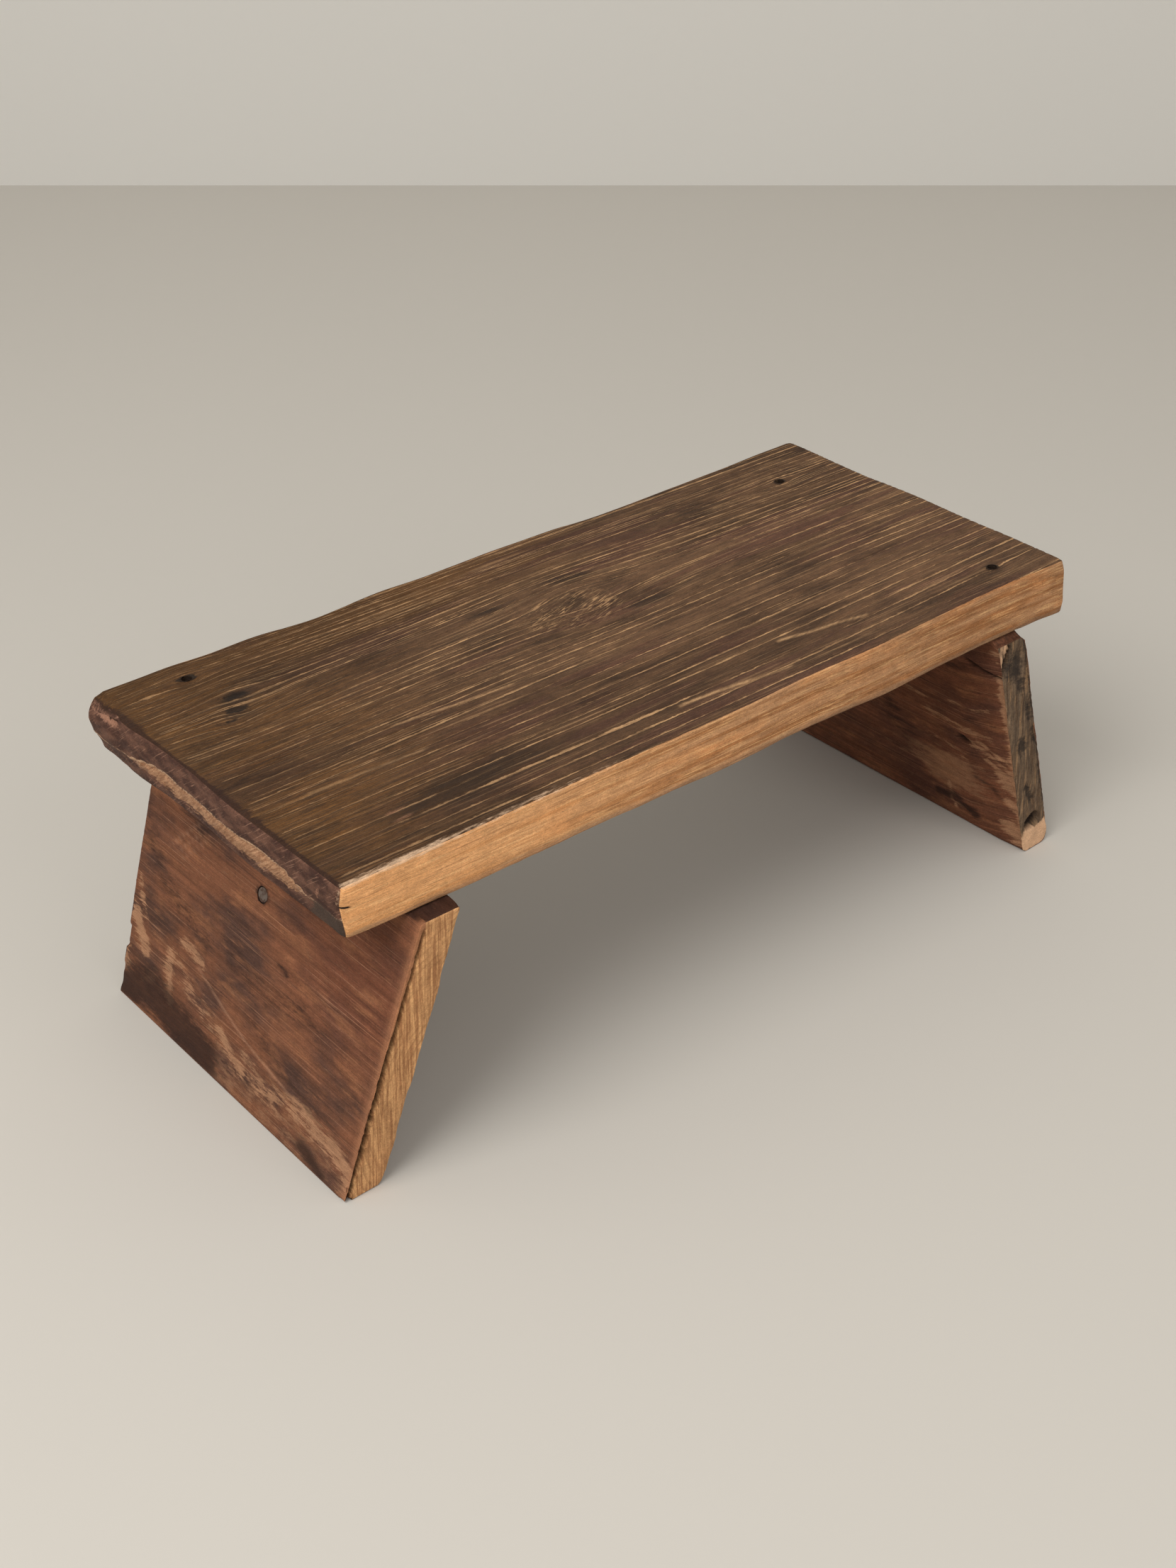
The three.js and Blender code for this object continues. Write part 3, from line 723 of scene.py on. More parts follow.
ROUGH_SAWN_LAYERS = (
    (linear(134, 100, 73), "old_patches", 0.3, 0.7),
    (SHADE, "saw_marks", 0.3, 0.7, 0.82, 1.08),
    (SHADE, "fibres", 0.25, 0.75, 0.86, 1.1),
)
RIGHT_END_LAYERS = ((linear(136, 102, 76), "speckle", 0.3, 0.7), (SHADE, "ring", 0.0, 0.9, 0.8, 1.15))
PALE_LAYERS = (
    (linear(228, 190, 154), "pale", 0.3, 1.0, 0.0, 0.75),
    (linear(176, 128, 102), "pinkish", 0.3, 1.0, 0.0, 0.75),
)
HEWN_LAYERS = (
    (linear(112, 78, 62), "patches", 0.35, 0.7),
    (linear(170, 128, 104), "scratch", 0.58, 0.7, 0.0, 0.5),
)
FACET_LAYERS = (
    (linear(206, 158, 120), "strokes", 0.35, 0.68),
    (linear(112, 76, 56), "patches", 0.5, 0.75, 0.0, 0.35),
    (SHADE, "upper", 0, 1, 0.8, 1.05),
)
HEWN_FOOT_LAYERS = (
    (linear(72, 59, 50), "black", 0.35, 0.7, 0.0, 0.85),
    (SHADE, "speckle", 0.25, 0.75, 0.85, 1.12),
)
LEG_LAYERS = (
    (linear(148, 98, 67), "warm", 0.5, 0.7, 0.0, 0.6),
    (SHADE, "bands", 0.3, 0.7, 0.78, 1.14),
    (linear(172, 126, 97), "lines", 0.58, 0.72, 0.0, 0.45),
    (linear(60, 40, 33), "lines", 0.42, 0.28, 0.0, 0.4),
    (SHADE, "fibres", 0.25, 0.75, 0.84, 1.15),
    (SHADE, "speckle", 0.25, 0.75, 0.88, 1.12),
    # Pale band by the left leg's foot, and a painted patch of light on the right leg's inner face
    (linear(158, 116, 86), "low", 0.3, 0.8, 0.0, 0.6),
)
BARE_LAYERS = ((SHADE, "fibres", 0.25, 0.75, 0.78, 1.1),)
STAIN_LAYERS = ((SHADE, "fibres", 0.25, 0.75, 0.8, 1.3),)
END_LAYERS = ((SHADE, "pores", 0.3, 0.7, 0.86, 1.08), (SHADE, "broad", 0.3, 0.7, 0.88, 1.08))
WEATHERED_LAYERS = (
    (linear(84, 69, 56), "old", 0.42, 0.62, 0.0, 0.7),
    (linear(168, 130, 92), "fresh", 0.52, 0.66, 0.0, 0.45),
    (linear(208, 166, 130), "low_end", 0.35, 0.75),
    (linear(42, 36, 33), "stain", 0.2, 0.95, 0.0, 0.8),
)
RAIL_LAYERS = ((SHADE, "fibres", 0.2, 0.8, 0.82, 1.15), (SHADE, "saw", 0.3, 0.7, 0.92, 1.05))

# Single tones
RED_BROWN = linear(92, 62, 49)
RING_MARK_TONE = linear(158, 112, 84)
CHECK_SHADE = linear(30, 22, 18)
SAWN_DARK = linear(156, 104, 63)
ROUGH_SAWN_DARK = linear(96, 70, 50)
RIGHT_END_DARK = linear(92, 66, 48)
HEWN_DARK = linear(70, 46, 38)
FACET_TAN = linear(158, 112, 80)
FACET_RIDGE_TONE = linear(220, 180, 144)
LEG_DULL = linear(82, 57, 47)
LEG_RED = linear(114, 68, 48)
SCRATCH_TONE = linear(176, 132, 104)
LEFT_END_DARK = linear(166, 116, 76)
END_LIP_TONE = linear(150, 98, 68)
LIP_TONE = linear(172, 118, 84)
# Painted shade inside the legs' splits, cracks and holes
SPLIT_AND_HOLE_SHADE = linear(34, 24, 19)
RIGHT_LEG_END_DARK = linear(84, 64, 48)

# How strongly each part of a finish shows
HEWN_TURN = math.radians(38)
LINE_SHADOW_DROP = 1.3
LINE_SHADOW_SHARE = 0.8
FEATHER_SHARE = 0.85
CLEFT_SHARE = 0.7
SHADOW_SHARE = 0.6
STREAK_SHARE = 0.85
RIDGE_SHARE = 0.85
RED_SHARE = 0.8
TORN_LINE_SHARE = 0.35
LATE_WOOD_SHADE = 0.8
END_LIP_SHARE = 0.8
LIP_SHARE = 0.5
RAIL_GRIT_SHARE = 0.7
SEAT_RELIEF_SHARES = (("fibres", 0.6), ("speckle", 0.3), ("streaks", -0.35), ("dust", 0.35))
LEG_RELIEF_SHARES = (("fibres", 0.5), ("speckle", 0.25), ("bands", 0.5), ("dust", 0.35))
RAIL_SAW_SHARE = 0.6
RAIL_DUST_SHARE = 0.3
WOOD_BUMP = 0.9 * MM
RAIL_BUMP = 0.6 * MM
NAIL_BUMP = 0.2 * MM
WOOD_SPECULAR = 0.1
NAIL_SPECULAR = 0.5
NAIL_METALLIC = 0.6

# Sockets of the Mix node when it mixes colours
MIX_SHARE = 0
MIX_FIRST = 6
MIX_SECOND = 7
MIX_RESULT = 2

# Small values of the modelling itself
TOUCH = 0.01 * MM
FACING_SHARE = 0.9
LEAST_LENGTH = 1e-9
CORNER_OVER_ARRIS = 1.05
WOOD_SMOOTH_ANGLE = math.radians(50)
STEEL_SMOOTH_ANGLE = math.radians(35)
CELL_PRIMES = (73856093, 19349663, 83492791)
SEED_PRIME = 374761393
FIRST_MIXER = 1274126177
SECOND_MIXER = 2246822519
WORD = 0xFFFFFFFF


def colour_setting(name, description, red, green, blue):
    return FloatVectorProperty(
        name=name, description=description, subtype="COLOR", size=4, min=0, max=1,
        default=linear(red, green, blue),
    )


class SeatSettings(PropertyGroup):
    """Sizes and colours of the seat plank."""

    groove_depth: FloatProperty(
        name="Groove depth", description="How deep the brushed grain lies under the seat's top",
        default=0.45 * MM, min=0, unit="LENGTH",
    )
    arris: FloatProperty(
        name="Worn edge", description="Radius of the worn edges", default=2.4 * MM, min=0, unit="LENGTH",
    )
    skin: colour_setting("Weathered wood", "Brown of the seat's top", 104, 76, 54)
    # The dark brown is also the tone of the painted shadows beside the pale lines.
    dark: colour_setting("Dark wood", "Darkest brown of the top", 56, 40, 30)
    golden: colour_setting("Golden wood", "Warm brown near the left end", 124, 84, 46)
    streak: colour_setting("Bare streaks", "Pale lines where the grain is brushed open", 194, 152, 108)
    sawn: colour_setting("Sawn wood", "Tan of the front face", 186, 138, 97)


class LegSettings(PropertyGroup):
    """Sizes and colours of the two legs."""

    arris: FloatProperty(
        name="Worn edge", description="Radius of the worn edges", default=1.4 * MM, min=0, unit="LENGTH",
    )
    skin: colour_setting("Weathered wood", "Reddish brown of the broad faces", 122, 78, 55)
    dark: colour_setting("Dark wood", "Stains and shaded grain", 52, 34, 27)
    bare: colour_setting("Bare wood", "Tan where the skin is torn off", 170, 126, 94)
    end_grain: colour_setting("End grain", "Golden tan of the sawn end", 224, 170, 116)
    grey: colour_setting("Weathered end", "Grey brown of the old end", 134, 110, 86)


class RailSettings(PropertyGroup):
    """Colours of the stretcher rail."""

    skin: colour_setting("Sawn wood", "Brown of the rail", 132, 94, 66)
    dark: colour_setting("Dark wood", "Shaded grain of the rail", 84, 56, 39)


class NailSettings(PropertyGroup):
    """Colour of the nails."""

    steel: colour_setting("Steel", "Dull grey of the heads", 112, 98, 88)
    rust: colour_setting("Rust", "Brown that dulls the steel", 78, 52, 38)


class StageSettings(PropertyGroup):
    """The camera's lens, the light and the stage's colours."""

    lens: FloatProperty(name="Lens", description="Focal length", default=46.66, min=1, unit="CAMERA")
    sky: FloatProperty(name="Sky light", description="Strength of the even light", default=0.62, min=0)
    key: FloatProperty(
        name="Key light", description="Power of the broad light", default=42, min=0, unit="POWER",
    )
    floor: colour_setting("Floor", "Pale floor", 198, 192, 182)
    wall: colour_setting("Backdrop", "Pale backdrop", 214, 210, 202)


def ease(value, start, end):
    """0 at start and 1 at end, smooth between."""
    share = np.clip((value - start) / (end - start), 0, 1)
    return share * share * (3 - 2 * share)


def blend(a, b, share):
    return a + (b - a) * share


def cell_value(cell, seed):
    """A fixed random number from 0 to 1 for each cell of a lattice."""
    key = np.bitwise_xor.reduce(cell * CELL_PRIMES, axis=1) ^ seed * SEED_PRIME
    key &= WORD
    key = (key ^ (key >> 13)) * FIRST_MIXER & WORD
    key = (key ^ (key >> 16)) * SECOND_MIXER & WORD
    key ^= key >> 15
    return key / WORD


def noise(place, sizes, seed):
    """Smooth noise from -1 to 1 with lumps of the given sizes along each axis."""
    scaled = place / np.array(sizes)
    cell = np.floor(scaled).astype(np.int64)
    part = scaled - cell
    eased = part ** 3 * (part * (part * 6 - 15) + 10)
    total = np.zeros(len(place))
    for corner in itertools.product((0, 1), repeat=3):
        weight = np.where(corner, eased, 1 - eased).prod(axis=1)
        total += weight * cell_value(cell + np.array(corner), seed)
    return 2 * total - 1


def swell(place, pattern):
    """Noise from 0 to 1. The pattern gives its sizes and seed."""
    return 0.5 + 0.5 * noise(place, *pattern)


def wander(along, shares, reach):
    """How far an edge stands out at a share of its length, on a smooth curve through the shares."""
    places, outs = np.array(shares).T
    slopes = np.gradient(outs, places)
    index = np.clip(np.searchsorted(places, along, side="right") - 1, 0, len(places) - 2)
    span = places[index + 1] - places[index]
    t = (along - places[index]) / span
    from_start = outs[index] * (1 + 2 * t) + slopes[index] * span * t
    from_end = outs[index + 1] * (3 - 2 * t) - slopes[index + 1] * span * (1 - t)
    return reach * (from_start * (1 - t) ** 2 + from_end * t ** 2)


def blot(a, b, centre, reach, turn):
    """1 in the middle of an oval patch and 0 outside it. Its long way is turned by degrees."""
    across = math.radians(turn)
    da = a - centre[0]
    db = b - centre[1]
    first = (da * math.cos(across) + db * math.sin(across)) / reach[0]
    second = (db * math.cos(across) - da * math.sin(across)) / reach[1]
    return ease(np.hypot(first, second), 1, 0)


def near_blots(a, b, blots):
    """1 in the middle of any of the oval patches and 0 outside them."""
    most = np.zeros(a.shape)
    for strength, centre, reach, turn in blots:
        most = np.maximum(most, strength * blot(a, b, centre, reach, turn))
    return most


def path_distance(a, b, path):
    """Distance from a path of straight runs."""
    least = np.full(a.shape, np.inf)
    for (a0, b0), (a1, b1) in zip(path, path[1:]):
        run_a = a1 - a0
        run_b = b1 - b0
        share = np.clip(((a - a0) * run_a + (b - b0) * run_b) / (run_a ** 2 + run_b ** 2), 0, 1)
        least = np.minimum(least, np.hypot(a - a0 - share * run_a, b - b0 - share * run_b))
    return least


def near_paths(a, b, paths):
    """1 on any of the paths and 0 beyond its half width."""
    most = np.zeros(a.shape)
    for width, strength, points in paths:
        distance = path_distance(a, b, [mm(*point) for point in points])
        most = np.maximum(most, strength * ease(distance, width * MM, 0))
    return most


def spread_rows(share, even_share, even_place):
    """Moves rows towards both ends, so that the worn edges have enough of them."""
    return np.interp(share, (0, even_share, 1 - even_share, 1), (0, even_place, 1 - even_place, 1))


def deselect_all():
    bpy.ops.object.select_all(action="DESELECT")


def vertex_places(mesh):
    flat = np.empty(len(mesh.vertices) * 3)
    mesh.vertices.foreach_get("co", flat)
    return flat.reshape(-1, 3)


def place_vertices(mesh, place):
    mesh.vertices.foreach_set("co", place.ravel())
    mesh.update()


def vertex_normals(mesh):
    flat = np.empty(len(mesh.vertices) * 3)
    mesh.vertex_normals.foreach_get("vector", flat)
    return flat.reshape(-1, 3)


def select_edges_along(mesh, axis):
    """Selects the edges that run along one axis, and nothing else."""
    place = vertex_places(mesh)
    ends = np.empty(len(mesh.edges) * 2, dtype=np.int64)
    mesh.edges.foreach_get("vertices", ends)
    run = np.abs(place[ends[1::2]] - place[ends[::2]])
    mesh.vertices.foreach_set("select", np.zeros(len(mesh.vertices), dtype=bool))
    mesh.polygons.foreach_set("select", np.zeros(len(mesh.polygons), dtype=bool))
    mesh.edges.foreach_set("select", run.argmax(axis=1) == axis)


def add_block(name, row_counts):
    """A cube one unit wide, cut into rows along each axis. Each count is given as factors."""
    deselect_all()
    bpy.ops.mesh.primitive_cube_add(size=1, location=(0.5, 0.5, 0.5))
    block = bpy.context.object
    block.name = name
    block.data.name = name
    bpy.ops.object.transform_apply(location=True, rotation=False, scale=False)
    bpy.context.tool_settings.mesh_select_mode = (False, True, False)
    for axis, factors in enumerate(row_counts):
        for factor in factors:
            select_edges_along(block.data, axis)
            bpy.ops.object.mode_set(mode="EDIT")
            bpy.ops.mesh.subdivide(number_cuts=factor - 1)
            bpy.ops.object.mode_set(mode="OBJECT")
    return block


def soften(place, size, profile, corner, arris):
    """Rounds a block's surface: the corners of its profile, then the edges of its two ends."""
    first, second = profile
    end_axis = 3 - first - second
    corner = np.maximum(corner, arris * CORNER_OVER_ARRIS)
    flat = place[:, profile]
    room = np.array((size[first], size[second]))
    core = np.clip(flat, corner[:, None], room - corner[:, None])
    offset = flat - core
    reach = np.abs(offset).max(axis=1)
    length = np.maximum(np.hypot(offset[:, 0], offset[:, 1]), LEAST_LENGTH)
    unit = offset / length[:, None]
    inside = corner - reach
    along = place[:, end_axis]
    from_end = np.minimum(along, size[end_axis] - along)
    inward = np.maximum(arris - inside, 0)
    lengthwise = np.maximum(arris - from_end, 0)
    diagonal = np.maximum(np.hypot(inward, lengthwise), LEAST_LENGTH)
    rounded = (inward > 0) & (lengthwise > 0)
    new_inside = np.where(rounded, arris - inward * arris / diagonal, inside)
    new_from_end = np.where(rounded, arris - lengthwise * arris / diagonal, from_end)
    result = place.copy()
    result[:, profile] = core + unit * (corner - new_inside)[:, None]
    near_start = along < size[end_axis] / 2
    result[:, end_axis] = np.where(near_start, new_from_end, size[end_axis] - new_from_end)
    return result


def paint(mesh, name, values):
    """Keeps a number or a place for each vertex, for the finish to read."""
    if values.ndim == 2:
        layer = mesh.attributes.new(name, "FLOAT_VECTOR", "POINT")
        layer.data.foreach_set("vector", values.ravel())
    else:
        layer = mesh.attributes.new(name, "FLOAT", "POINT")
        layer.data.foreach_set("value", values)


def turn_from_up(direction):
    """The turn that takes a shape from upright to a direction."""
    unit = np.array(direction) / np.linalg.norm(direction)
    return Vector((0, 0, 1)).rotation_difference(Vector(unit)).to_matrix()


def drill(piece, head, direction, radius, depth, name):
    """Cuts a round hole straight in from a face. The direction points out of the wood."""
    deselect_all()
    bpy.ops.mesh.primitive_cylinder_add(
        vertices=HOLE_SIDES, radius=radius, depth=2 * depth, location=(0, 0, 0),
    )
    cutter = bpy.context.object
    cutter.name = name
    cutter.data.transform(Matrix.Translation(head) @ turn_from_up(direction).to_4x4())
    hole = piece.modifiers.new(name, "BOOLEAN")
    hole.object = cutter
    hole.operation = "DIFFERENCE"
    hole.solver = "EXACT"
    bpy.context.view_layer.objects.active = piece
    bpy.ops.object.modifier_apply(modifier=hole.name)
    bpy.data.objects.remove(cutter)


def keep_in_box(piece):
    """Moves the few vertices that stand out of the bench's box back to its faces."""
    least, most = CAD_BOX
    place_vertices(piece.data, np.clip(vertex_places(piece.data), least, most))


def finish_piece(piece, material, node, angle=WOOD_SMOOTH_ANGLE):
    keep_in_box(piece)
    deselect_all()
    piece.select_set(True)
    bpy.context.view_layer.objects.active = piece
    bpy.ops.object.shade_smooth_by_angle(angle=angle)
    piece.data.materials.clear()
    piece.data.materials.append(material)
    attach(piece, "root")
    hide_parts(node)


class Finish:
    """The nodes of one procedural finish."""

    def __init__(self, name):
        self.material = bpy.data.materials.new(name)
        self.material.use_nodes = True
        self.nodes = self.material.node_tree.nodes
        self.links = self.material.node_tree.links
        self.nodes.clear()
        output = self.nodes.new("ShaderNodeOutputMaterial")
        self.shader = self.nodes.new("ShaderNodeBsdfPrincipled")
        self.links.new(self.shader.outputs["BSDF"], output.inputs["Surface"])

    def feed(self, socket, value):
        if isinstance(value, bpy.types.NodeSocket):
            self.links.new(value, socket)
        else:
            socket.default_value = value

    def add(self, kind, inputs, **settings):
        node = self.nodes.new("ShaderNode" + kind)
        for name, value in settings.items():
            setattr(node, name, value)
        for socket, value in inputs.items():
            self.feed(node.inputs[socket], value)
        return node

    def number(self, name):
        return self.add("Attribute", {}, attribute_name=name).outputs["Fac"]

    def place(self, name):
        return self.add("Attribute", {}, attribute_name=name).outputs["Vector"]

    def object_place(self):
        return self.add("TexCoord", {}).outputs["Object"]

    def turned(self, place, angle, axis):
        inputs = {"Vector": place, "Angle": angle}
        return self.add("VectorRotate", inputs, rotation_type=axis).outputs["Vector"]

    def parts(self, place):
        """The X, Y and Z of a place."""
        return self.add("SeparateXYZ", {"Vector": place}).outputs

    def noise(self, place, sizes, detail=2.0, roughness=0.5, distortion=0.0, shift=0.0):
        """Noise with lumps of the given sizes in metres along each axis."""
        scale = tuple(1 / size for size in sizes)
        mapping = self.add("Mapping", {"Vector": place, "Scale": scale, "Location": (shift, shift, shift)})
        inputs = {
            "Vector": mapping.outputs["Vector"], "Scale": 1.0, "Detail": detail,
            "Roughness": roughness, "Distortion": distortion,
        }
        return self.add("TexNoise", inputs).outputs["Fac"]

    def patterns(self, place, table):
        """Each noise pattern of a table, by its name."""
        return {name: self.noise(place, **pattern) for name, pattern in table.items()}

    def math(self, operation, first, *others):
        """Takes the values together by one operation, from the first to the last."""
        if not others:
            return self.add("Math", {0: first, 1: 0.0, 2: 0.0}, operation=operation).outputs[0]
        for other in others:
            first = self.add("Math", {0: first, 1: other, 2: 0.0}, operation=operation).outputs[0]
        return first

    def between(self, value, start, end, low=0.0, high=1.0):
        """Low at start and high at end, smooth between."""
        inputs = {"Value": value, "From Min": start, "From Max": end, "To Min": low, "To Max": high}
        return self.add("MapRange", inputs, interpolation_type="SMOOTHSTEP").outputs["Result"]

    def span(self, patterns, row):
        """Runs from low to high as a pattern does. The row names the pattern and gives its numbers."""
        name, *numbers = row
        return self.between(patterns[name], *numbers)

    def spans(self, patterns, rows):
        """The product of some spans."""
        return self.math("MULTIPLY", *(self.span(patterns, row) for row in rows))

    def frayed(self, zone, pattern, reach, ends=FRAY_ENDS):
        """A painted zone whose edge is frayed by a pattern."""
        return self.math("ADD", self.number(zone), self.between(pattern, *ends, -reach, reach))

    def mix(self, share, first, second):
        node = self.add("Mix", {}, data_type="RGBA", clamp_factor=True)
        self.feed(node.inputs[MIX_SHARE], share)
        self.feed(node.inputs[MIX_FIRST], first)
        self.feed(node.inputs[MIX_SECOND], second)
        return node.outputs[MIX_RESULT]

    def shade(self, colour, amount):
        """Multiplies a colour by a grey amount."""
        if not isinstance(colour, bpy.types.NodeSocket):
            colour = tuple(colour)[:3]
        node = self.add("VectorMath", {0: colour, "Scale": amount}, operation="SCALE")
        return node.outputs["Vector"]

    def coat(self, colour, rows, patterns):
        """Lays each row's tone over a colour where its span shows. A SHADE row darkens or lightens it."""
        for tone, *row in rows:
            amount = self.span(patterns, row)
            colour = self.shade(colour, amount) if tone is SHADE else self.mix(amount, colour, tone)
        return colour

    def grit(self, colour, place, strength=1.0):
        """Fine dust, pores and scuffs over a colour, and their height."""
        grit = self.patterns(place, GRIT_PATTERNS)
        for name, start, end, less, more in GRIT_SHADES:
            amount = self.between(grit[name], start, end, 1 + less * strength, 1 + more * strength)
            colour = self.shade(colour, amount)
        return colour, grit["dust"]

    def relief(self, patterns, shares):
        """The height that some patterns make together, each with its share."""
        return self.math("ADD", *(self.math("MULTIPLY", patterns[name], share) for name, share in shares))

    def bump(self, height, distance):
        inputs = {"Height": height, "Distance": distance, "Strength": 1.0}
        return self.add("Bump", inputs).outputs["Normal"]

    def done(self, colour, roughness, normal, specular=WOOD_SPECULAR):
        self.feed(self.shader.inputs["Base Color"], colour)
        self.feed(self.shader.inputs["Roughness"], roughness)
        self.feed(self.shader.inputs["Normal"], normal)
        self.shader.inputs["Specular IOR Level"].default_value = specular
        return self.material


def leg_outer(leg, height):
    """Distance of a leg's outer face from its own end of the seat."""
    return blend(leg["foot_inset"], leg["top_inset"], height / LEG_TOP)


def leg_splay(leg):
    return math.atan2(leg["top_inset"] - leg["foot_inset"], LEG_TOP)


def leg_inner(leg, height):
    return leg_outer(leg, height) + LEG_THICKNESS / math.cos(leg_splay(leg))


def leg_front(leg, height):
    """How far a leg's front end stands out before the seat's front edge."""
    return blend(leg["front_foot"], leg["front_top"], height / LEG_TOP)


def along_seat(leg, inset):
    if leg["side"] == "left":
        return inset
    return SEAT_LENGTH - inset


def leg_outward(leg):
    reach = math.cos(leg_splay(leg))
    return (-reach if leg["side"] == "left" else reach, 0, math.sin(leg_splay(leg)))


def in_holes(place, nails):
    """1 in the drilled holes of the nails and 0 outside them."""
    most = np.zeros(len(place))
    for _, head, direction, radius in nails:
        axis = direction / np.linalg.norm(direction)
        offset = place - head
        from_axis = np.linalg.norm(offset - np.outer(offset @ axis, axis), axis=1)
        most = np.maximum(most, ease(from_axis, radius + HOLE_RIM, radius + HOLE_WALL))
    return most


def grain_flow(along, across, knots):
    """The across-grain place that the grain follows, parting round the knots."""
    flow = across.copy()
    for knot_along, knot_across, radius, stretch, _ in knots:
        da = (along - knot_along) / stretch
        db = across - knot_across
        near = radius ** 2 / (da ** 2 + db ** 2 + (KNOT_CORE_SHARE * radius) ** 2)
        flow -= db * near
    return flow


def knot_mask(along, across, knots):
    """How dark the knots make each place."""
    marks = [
        (darkness, (knot_along, knot_across), (radius * stretch, radius), 0)
        for knot_along, knot_across, radius, stretch, darkness in knots
    ]
    return near_blots(along, across, marks)


def line_count(place, flow, lines):
    """Grain lines as a running count across the plank, tilted through its thickness."""
    drift = LONG_DRIFT_SHARE * noise(place, LONG_DRIFT, lines["seed"])
    drift += NARROW_DRIFT_SHARE * noise(place, NARROW_DRIFT, lines["seed"] + NARROW_DRIFT_SEED)
    closer = 1 + CLOSER_BACK_SHARE * (flow / SEAT_WIDTH) ** 2
    deep = np.maximum(SEAT_HEIGHT - place[:, 2] - TILT_START, 0)
    return (flow * closer + GRAIN_TILT * deep) / lines["spacing"] + drift


def line_opening(place, count, lines):
    """How widely each line is brushed open along its length. Below 0 it is closed."""
    along = place[:, 0]
    seed = lines["opening_seed"]
    line = np.column_stack((along, np.floor(count), np.zeros(len(along))))
    changing = LONG_OPENING_SHARE * noise(line, LONG_OPENING, seed)
    changing += SHORT_OPENING_SHARE * noise(line, SHORT_OPENING, seed + 1)
    opening = lines["base_share"] + lines["opening_share"] * changing
    return opening + lines["thickness_share"] * noise(place, *LINE_THICKNESS) - ease(along, *LINE_START)


def seat_lines(place, flow):
    """The two sets of pale lines: counts across, and how open each is at a place."""
    along, across, _ = place.T
    ring = line_count(place, flow, WIDE_LINES)
    opening = line_opening(place, ring, WIDE_LINES)
    crowded = np.maximum(ease(across, *CROWDED_BACK), near_blots(along, across, CROWDED_BLOTS))
    fine_ring = line_count(place, flow, FINE_LINES)
    fine_opening = line_opening(place, fine_ring, FINE_LINES)
    fine_opening += CROWDED_SHARE * crowded - SPARSE_SHARE * ease(across, *SPARSE_FRONT)
    return {"ring": ring, "opening": opening, "fine_ring": fine_ring, "fine_opening": fine_opening}


def line_grooves(lines):
    """1 in the middle of the lines that are open and 0 beside them."""
    wide = np.abs(lines["ring"] % 1 - 0.5)
    fine = np.abs(lines["fine_ring"] % 1 - 0.5)
    grooves = ease(wide, *WIDE_LINES["groove"]) * ease(lines["opening"], *WIDE_LINES["open"])
    fine_grooves = ease(fine, *FINE_LINES["groove"]) * ease(lines["fine_opening"], *FINE_LINES["open"])
    return np.maximum(grooves, FINE_GROOVE_SHARE * fine_grooves)


def facet_field(across, up):
    """Inside the pale hewn facet of the left end above 0, with pointed ends."""
    reach = FACET_REACH * ease(across, *FACET_FRONT) * ease(across, *FACET_BACK) ** FACET_POINT
    return (reach - np.abs(up - FACET_MIDDLE)) / FACET_REACH


def hewn_end(depth):
    """The left end stands out to a ridge, then falls back to the underside."""
    to_ridge = -END_RIDGE * depth / END_RIDGE_DEPTH
    share = (depth - END_RIDGE_DEPTH) / (SEAT_THICKNESS - END_RIDGE_DEPTH)
    return np.where(depth < END_RIDGE_DEPTH, to_ridge, blend(-END_RIDGE, END_UNDERCUT, share))


def seat_form(shares, arris):
    """Places the block's vertices on the plank."""
    along = spread_rows(shares[:, 0], *SEAT_LENGTH_ROW_SHARES)
    across = spread_rows(shares[:, 1], *SEAT_WIDTH_ROW_SHARES)
    up = np.interp(shares[:, 2], *SEAT_HEIGHT_ROW_SHARES)
    size = (SEAT_LENGTH, SEAT_WIDTH, SEAT_THICKNESS)
    place = np.column_stack((along, across, up)) * size
    more_worn = 1 + LEFT_WEAR_SHARE * ease(place[:, 0], *LEFT_WEAR_REACH)
    radius = arris * (1 + SEAT_WEAR_SHARE * noise(place, *SEAT_WEAR)) * more_worn
    place = soften(place, size, [0, 1], np.full(len(place), SEAT_CORNER), radius)
    along_share = place[:, 0] / SEAT_LENGTH
    across_share = place[:, 1] / SEAT_WIDTH
    depth = SEAT_THICKNESS - place[:, 2]
    out_front = wander(along_share, FRONT_EDGE_SHARES, SEAT_EDGE_WAVE)
    out_back = wander(along_share, BACK_EDGE_SHARES, SEAT_EDGE_WAVE)
    out_left = wander(across_share, LEFT_END_SHARES, SEAT_EDGE_WAVE)
    out_right = wander(across_share, RIGHT_END_SHARES, SEAT_EDGE_WAVE)
    place[:, 1] += blend(-out_front, out_back, across_share)
    place[:, 0] += blend(-out_left, out_right, along_share)
    place[:, 0] += hewn_end(depth) * (1 - along_share)
    twist = (1 - 2 * along_share) * depth / SEAT_THICKNESS * (1 - across_share)
    place[:, 1] += FRONT_FACE_TWIST * twist
    bulge = ease(place[:, 1], *BULGE_ACROSS) * ease(depth, *BULGE_TOP) * ease(depth, *BULGE_FOOT)
    place[:, 0] -= CORNER_BULGE * bulge * (1 - along_share) ** CORNER_FALL
    belly = ease(place[:, 1], *BELLY_ACROSS) * ease(depth, *BELLY_TOP) * ease(depth, *BELLY_FOOT)
    place[:, 0] += RIGHT_BELLY * belly * along_share ** CORNER_FALL
    place[:, 2] += UNDERSIDE
    return place


def broken_corner(place):
    """How far the flake off the back left corner goes down from the top."""
    back_share = (place[:, 1] - SEAT_WIDTH + BROKEN_WIDTH) / BROKEN_WIDTH
    level = -BROKEN_DEPTH * (BROKEN_LENGTH - place[:, 0]) / BROKEN_LENGTH
    level += BROKEN_DEPTH * (1 - back_share)
    return np.maximum(-level, 0)


